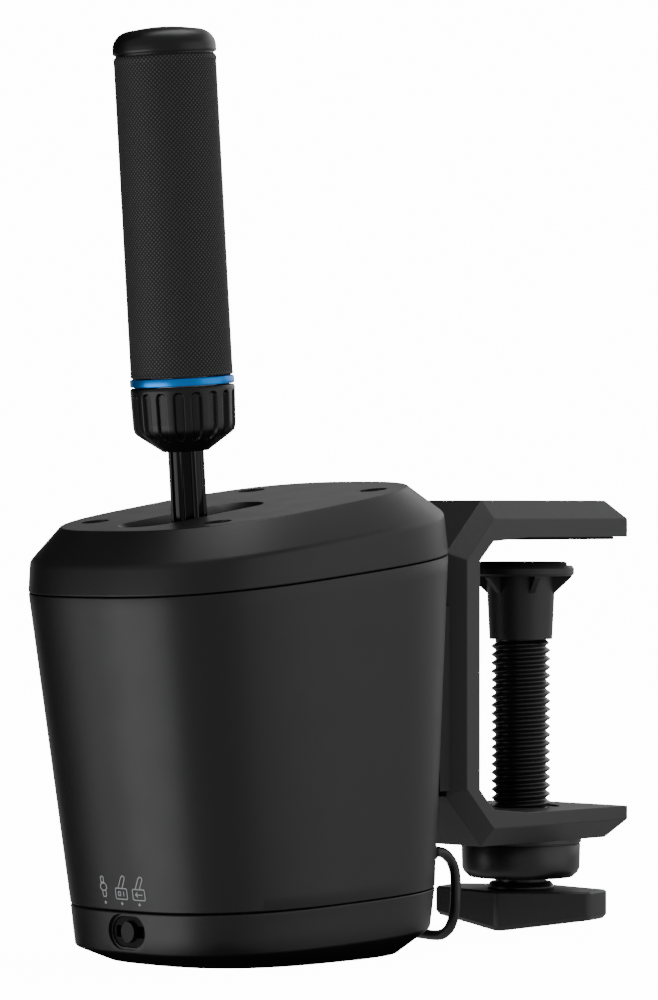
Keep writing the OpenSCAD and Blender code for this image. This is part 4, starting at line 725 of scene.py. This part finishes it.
class SHIFTER_OT_lever(bpy.types.Operator):
    """Rod, collar, ring, textured sleeve and cap"""

    bl_idname = "shifter.lever"
    bl_label = "Lever and grip"

    def execute(self, context):
        look = context.scene.shifter_look
        self.sleeve(look.knurl_count)
        self.cap()
        self.ring()
        self.collar()
        self.rod()
        return {"FINISHED"}

    def sleeve(self, around, pitch=KNURL_PITCH, depth=0.3):
        """Tube with small chamfers whose outside carries pyramids.

        Radius = GRIP_R - depth * (1 - ridge), where ridge is the lower of two zigzags, those of
        turn * around + z / pitch and turn * around - z / pitch, and fades to 1 at both ends.
        """
        low, top = SLEEVE_FOOT, SLEEVE_TOP
        cols = around * 4
        t = np.arange(cols) / cols
        z = np.arange(low + 0.7, top - 1.2, pitch / 4)[:, None]
        climb = (z - low) / pitch
        ridge = np.minimum(zigzag(t * around + climb), zigzag(t * around - climb))
        fade = np.clip(np.minimum(z - low - 0.7, top - 1.5 - z) / 0.5, 0, 1)
        radius = GRIP_R - depth * (1 - ridge) * fade
        turn = t * math.tau
        relief = np.stack([radius * np.cos(turn), radius * np.sin(turn), z + 0 * turn], -1)
        foot = revolved([(12.1, low), (14.5, low), (14.85, low + 0.2), (GRIP_R, low + 0.5)], cols)
        head = revolved([(14.95, top - 0.9), (14.85, top - 0.5), (14.3, top), (12.1, top)], cols)
        rows = np.concatenate([foot, relief, head])
        sleeve = skin("grip_texture", on_lever(rows), "knurl", "grip", loop=True,
                      angle=80)
        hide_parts("grip_sleeve")

    def cap(self):
        """Upright wall, elliptical shoulder and a shallow parabola as crown."""
        low, r, width, height = SLEEVE_TOP, 15.1, 5.6, 5.2
        a = np.radians(np.linspace(0, 90, 24))
        foot = low + 2.2
        shoulder = np.column_stack([r - width + width * np.cos(a), foot + height * np.sin(a)])
        t = np.linspace(0, 1, 10)[1:]
        crown = np.column_stack([(r - width) * (1 - t) + 1e-4,
                                 foot + height + 0.9 * (1 - (1 - t) ** 2)])
        profile = np.vstack([[(1e-4, low - 5.5), (8.9, low - 5.5), (8.9, low), (14.3, low),
                              (14.35, low + 0.45), (14.9, low + 0.55), (r, low + 0.8),
                              (r, low + 1.5)], shoulder, crown])
        cap = skin("grip_dome", on_lever(revolved(profile)), "anodised", "grip",
                   angle=40)
        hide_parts("grip_cap")

    def ring(self):
        """Plain ring with narrow rounded edges, a little proud of the grip."""
        low = RING_FOOT
        profile = [(10.1, low), (14.8, low), (15.15, low + 0.12), (15.25, low + 0.4),
                   (15.25, low + 1.9), (15.15, low + 2.18), (14.8, low + 2.3), (10.1, low + 2.3)]
        ring = skin("grip_ring", on_lever(revolved(profile)), "blue", "grip",
                    loop=True)
        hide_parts("accent_ring")

    def collar(self):
        """Radius = that of the profile, less depth * groove(distance to a flute's middle line).

        groove is 3 g^2 - 2 g^3 of g = (half width - distance) / side, kept between 0 and 1, and
        both ends of a flute are half circles.
        """
        count, depth, half, side = 18, 1.1, 1.62, 0.55
        low, top = 104.6, 119.0
        cols = count * 24
        t = np.linspace(0, math.tau, cols, endpoint=False)
        cone = np.linspace((7.3875, 102.035), (13.8, 106.5), 20)
        wall = np.linspace((15.012, 109.808), (15.3, 119.6), 44)
        outer = np.vstack([[(5.6, 101.5), (6.7, 101.5), (7.05, 101.8)], cone,
                           [(14.5, 107.2), (14.85, 108.2), (15.0, 109.4)], wall,
                           [(15.2, 120.1), (14.9, 120.4)]])
        r, z = outer[:, :1], outer[:, 1:]
        near = (t * count / math.tau + 0.5) % 1 - 0.5
        across = near * math.tau / count * GRIP_R
        up = np.clip(z - top + half, 0, None) + np.clip(low + half - z, 0, None)
        reach = np.sqrt(across[None, :] ** 2 + up**2)
        groove = np.clip((half - reach) / side, 0, 1)
        groove = groove * groove * (3 - 2 * groove)
        r = r - depth * groove
        ring = np.stack([r * np.cos(t), r * np.sin(t), z + 0 * t], -1)
        inner = revolved([(10.15, 120.4), (10.15, 107.6), (6.85, 102.5), (5.6, 102.5)], cols)
        rows = np.concatenate([ring, inner])
        collar = skin("collar_fluted", on_lever(rows), "anodised", "collar",
                      loop=True, angle=40)
        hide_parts("lock_collar")

    def rod(self):
        """Rod with round flutes: radius = min(rod, near side of the flute's circle)."""
        round_r, centre_r, flute_r, count = 5.25, 5.6, 0.95, 8
        t = np.linspace(0, math.tau, 256, endpoint=False)
        near = ((t / math.tau * count) % 1 - 0.5) * math.tau / count
        span = centre_r * np.sin(near)
        cut = centre_r * np.cos(near) - np.sqrt(np.clip(flute_r**2 - span**2, 0, None))
        fluted = np.where(np.abs(span) < flute_r, np.minimum(round_r, cut), round_r)
        plain = np.full_like(t, round_r)
        rows = []
        for z, radius in ((5.5, plain), (38.5, plain), (39.5, fluted), (110, fluted),
                          (185.6, fluted), (186, fluted - 0.4)):
            rows.append(np.column_stack([radius * np.cos(t), radius * np.sin(t),
                                         np.full_like(t, z)]))
        rod = skin("rod_fluted", on_lever(rows), "rod", "lever", angle=40)
        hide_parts("lever_rod")


class SHIFTER_OT_clamp(bpy.types.Operator):
    """Clamp frame, nut, foot, threaded screw, washer and wing handle"""

    bl_idname = "shifter.clamp"
    bl_label = "Clamp"

    def execute(self, context):
        look = context.scene.shifter_look
        dressed("clamp_frame", "coat", width=look.edge_width * 1000, angle=12, steps=3)
        dressed("mounting_plate", "abs_small", width=0.4)
        self.nut()
        dressed("foot_socket", "nylon", width=0.3, angle=25)
        dressed("handle_washer", "oxide", width=0.25, angle=30)
        dressed("screw_handle", "nylon", width=1.6, angle=14, steps=4)
        self.screw(look.thread_pitch * 1000)
        return {"FINISHED"}

    def nut(self):
        """Turned nut: chamfered drum and thin ring under the arm, and a sleeve through it."""
        r, foot, under, top, bore, sleeve = NUT
        profile = [(bore, foot), (r - 2.6, foot), (r - 2.2, foot + 0.1), (r - 0.75, foot + 1.45),
                   (r - 0.45, foot + 1.9), (r, foot + 3), (r + 0.2, under - 2.0),
                   (r + 0.05, under - 1.8), (r - 0.3, under - 1.75), (r - 0.3, under - 1.45),
                   (r + 0.35, under - 1.4), (r + 0.5, under - 1.25), (r + 0.5, under),
                   (sleeve, under), (sleeve, top), (bore, top)]
        rings = revolved(profile) + np.array([SCREW_X, 0, 0])
        nut = skin("nut_turned", rings, "oxide", "root", loop=True, angle=40)
        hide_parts("clamp_nut")

    def screw(self, pitch):
        """Right-hand thread: radius = root + depth * ridge(z / pitch - angle / 360).

        ridge is a V with a narrow flat crest and root, and fades out at both ends.
        """
        low, top, root, depth, cols = -115.6, -40.5, 7.95, 1.3, 72
        t = np.linspace(0, math.tau, cols, endpoint=False)
        z = np.arange(low, top, pitch / 14)[:, None]
        phase = (z / pitch - t / math.tau) % 1
        ridge = np.clip(1.22 - np.abs(phase - 0.5) * 2.9, 0, 1)
        fade = np.clip(np.minimum(z - low, top - z) / 1.5, 0, 1)
        radius = root + depth * ridge * fade
        thread = np.stack([radius * np.cos(t), radius * np.sin(t), z + 0 * t], -1)
        tenon = revolved([(1e-4, -124.1), (6.0, -124.1), (6.0, -116.6), (root, -116.6),
                          (root, -115.7)], cols)
        neck = revolved([(7.9, -40.2), (7.9, -24.2), (7.3, -23.6), (1e-4, -23.6)], cols)
        rings = np.concatenate([tenon, thread, neck]) + np.array([SCREW_X, 0, 0])
        screw = skin("screw_thread", rings, "oxide", "spindle", angle=50)
        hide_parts("clamp_screw")


class SHIFTER_OT_small_parts(bpy.types.Operator):
    """Surfaces of the CAD pieces that are shown as they are, and the switch's knob"""

    bl_idname = "shifter.small_parts"
    bl_label = "Small parts"

    def execute(self, context):
        for node, surface in SURFACE_OF.items():
            mesh = frame["nodes"][node].data
            mesh.materials.clear()
            mesh.materials.append(MATERIALS[surface])
        dressed("mode_knob", "abs_small", width=0.3, angle=30, steps=3)
        return {"FINISHED"}


# Strength of the white world and of the glow of the pale paper
WORLD = 0.5
PAPER_GLOW = 14.0
# Name, place, aim, size in metres and power in watts; the camera stands at (-1.1, -1.0)
LIGHTS = (
    ("top_softbox", (0.1, 0.1, 1.25), (-0.05, 0, 0), (0.9, 0.9), 9),
    ("left_softbox", (-0.97, 0.26, -0.26), (-0.1, 0, -0.06), (1.0, 0.5), 4.5),
    ("right_softbox", (0.44, -1.22, 0.05), (-0.05, 0, 0), (1.5, 1.05), 4.2),
    ("back_softbox", (1.25, 0, 0.45), (-0.05, 0, 0), (1.4, 0.9), 4.2),
)
# Black cards that the object mirrors: name, middle and two half sides in metres
CARDS = (
    ("card_below", (-0.12, 0, FLOOR_LEVEL - 0.0005), (0.058, 0, 0), (0, 0.046, 0)),
    ("card_above", (-0.1, 0.45, 0.45), (0.42, 0, 0), (0, 0.28, -0.31)),
    ("card_left", (-0.35, 0.75, 0), (0.38, 0.14, 0), (0, 0, 0.4)),
)


class SHIFTER_OT_stage(bpy.types.Operator):
    """Pale floor, soft studio light and the photograph's camera"""

    bl_idname = "shifter.stage"
    bl_label = "Stage"

    def execute(self, context):
        look = context.scene.shifter_look
        make_materials(look)
        self.camera()
        self.floor(look.floor_colour)
        for card in CARDS:
            self.card(*card)
        for name, spot, aim, size, power in LIGHTS:
            self.area(name, spot, aim, size, power)
        world = bpy.data.worlds.new("studio")
        world.use_nodes = True
        world.node_tree.nodes["Background"].inputs["Color"].default_value = (1, 1, 1, 1)
        world.node_tree.nodes["Background"].inputs["Strength"].default_value = WORLD
        bpy.context.scene.world = world
        return {"FINISHED"}

    def camera(self):
        """The photograph's camera: level, and shifted only as far as the framing needs."""
        data = bpy.data.cameras.new("photo_camera")
        data.lens = 169.2
        data.sensor_width = 36
        data.sensor_fit = "AUTO"
        data.shift_y = 0.010
        data.clip_start = 0.01
        camera = bpy.data.objects.new("photo_camera", data)
        bpy.context.scene.collection.objects.link(camera)
        camera.location = (-1.1167, -0.9698, 0.0092)
        camera.rotation_euler = (math.radians(90), 0, math.radians(43.31 - 90))
        bpy.context.scene.camera = camera

    def card(self, name, centre, across, up):
        """A black card that the object mirrors and the camera doesn't see."""
        centre, across, up = (np.array(v, float) for v in (centre, across, up))
        points = [centre + a * across + b * up for a, b in ((-1, -1), (1, -1), (1, 1), (-1, 1))]
        mesh = bpy.data.meshes.new(name)
        mesh.from_pydata([v.tolist() for v in points], [], [(0, 1, 2, 3)])
        mesh.materials.append(principled("black_velvet", "#000000", 1.0, ior=1.0)[0])
        made = bpy.data.objects.new(name, mesh)
        bpy.context.scene.collection.objects.link(made)
        made.visible_camera = False
        made.visible_shadow = False

    def floor(self, colour):
        """A level disc whose rim turns up on a quarter circle into a round wall."""
        a = np.radians(np.linspace(0, 90, 13))
        far, bend, wall = 3.0, 0.8, 8.0
        radius = np.r_[0.001, far + bend * np.sin(a), far + bend][:, None]
        height = FLOOR_LEVEL + np.r_[0, bend - bend * np.cos(a), wall][:, None]
        t = np.linspace(0, math.tau, 96, endpoint=False)
        points = np.stack([radius * np.cos(t), radius * np.sin(t), height + 0 * t], -1)
        faces = grid_faces(len(points), len(t))[:-1]
        mesh = bpy.data.meshes.new("floor")
        mesh.from_pydata(points.reshape(-1, 3).tolist(), [], faces)
        material, tree, shader = principled("pale_studio_paper", hex_code(colour), 0.9)
        shader.inputs["Emission Color"].default_value = linear("#ffffff")
        shader.inputs["Emission Strength"].default_value = PAPER_GLOW
        mesh.materials.append(material)
        smooth(mesh, 60)
        floor = bpy.data.objects.new("floor", mesh)
        bpy.context.scene.collection.objects.link(floor)
        # The paper lights the picture, not the object, which stands in black flags in a studio
        floor.visible_diffuse = False
        floor.visible_glossy = False
        floor.visible_shadow = False

    def area(self, name, spot, aim, size, power):
        """An area light at a spot, turned to an aim."""
        data = bpy.data.lights.new(name, "AREA")
        data.shape = "RECTANGLE"
        data.size, data.size_y = size
        data.energy = power
        light = bpy.data.objects.new(name, data)
        bpy.context.scene.collection.objects.link(light)
        to = np.array(aim, float) - np.array(spot, float)
        azimuth = math.atan2(to[1], to[0])
        fall = math.atan2(-to[2], math.hypot(to[0], to[1]))
        light.location = spot
        light.visible_camera = False
        light.rotation_euler = (math.pi / 2 - fall, 0, azimuth - math.pi / 2)


class SHIFTER_PT_panel(bpy.types.Panel):
    """Lists the shifter's settings and the steps that build it"""

    bl_idname = "SHIFTER_PT_panel"
    bl_label = "Shifter"
    bl_space_type = "VIEW_3D"
    bl_region_type = "UI"
    bl_category = "Shifter"

    def draw(self, context):
        look = context.scene.shifter_look
        for name in look.bl_rna.properties.keys():
            if name not in ("rna_type", "name"):
                self.layout.prop(look, name)
        for step in STEPS:
            self.layout.operator(step.bl_idname)


STEPS = (SHIFTER_OT_stage, SHIFTER_OT_cable, SHIFTER_OT_housing, SHIFTER_OT_marks, SHIFTER_OT_lever,
         SHIFTER_OT_clamp, SHIFTER_OT_small_parts)
CLASSES = (ShifterLook, *STEPS, SHIFTER_PT_panel)


def register():
    for cls in CLASSES:
        bpy.utils.register_class(cls)
    bpy.types.Scene.shifter_look = bpy.props.PointerProperty(type=ShifterLook)


def unregister():
    del bpy.types.Scene.shifter_look
    for cls in reversed(CLASSES):
        bpy.utils.unregister_class(cls)


def main():
    register()
    for step in STEPS:
        group, name = step.bl_idname.split(".")
        getattr(getattr(bpy.ops, group), name)()


if __name__ == "__main__":
    main()
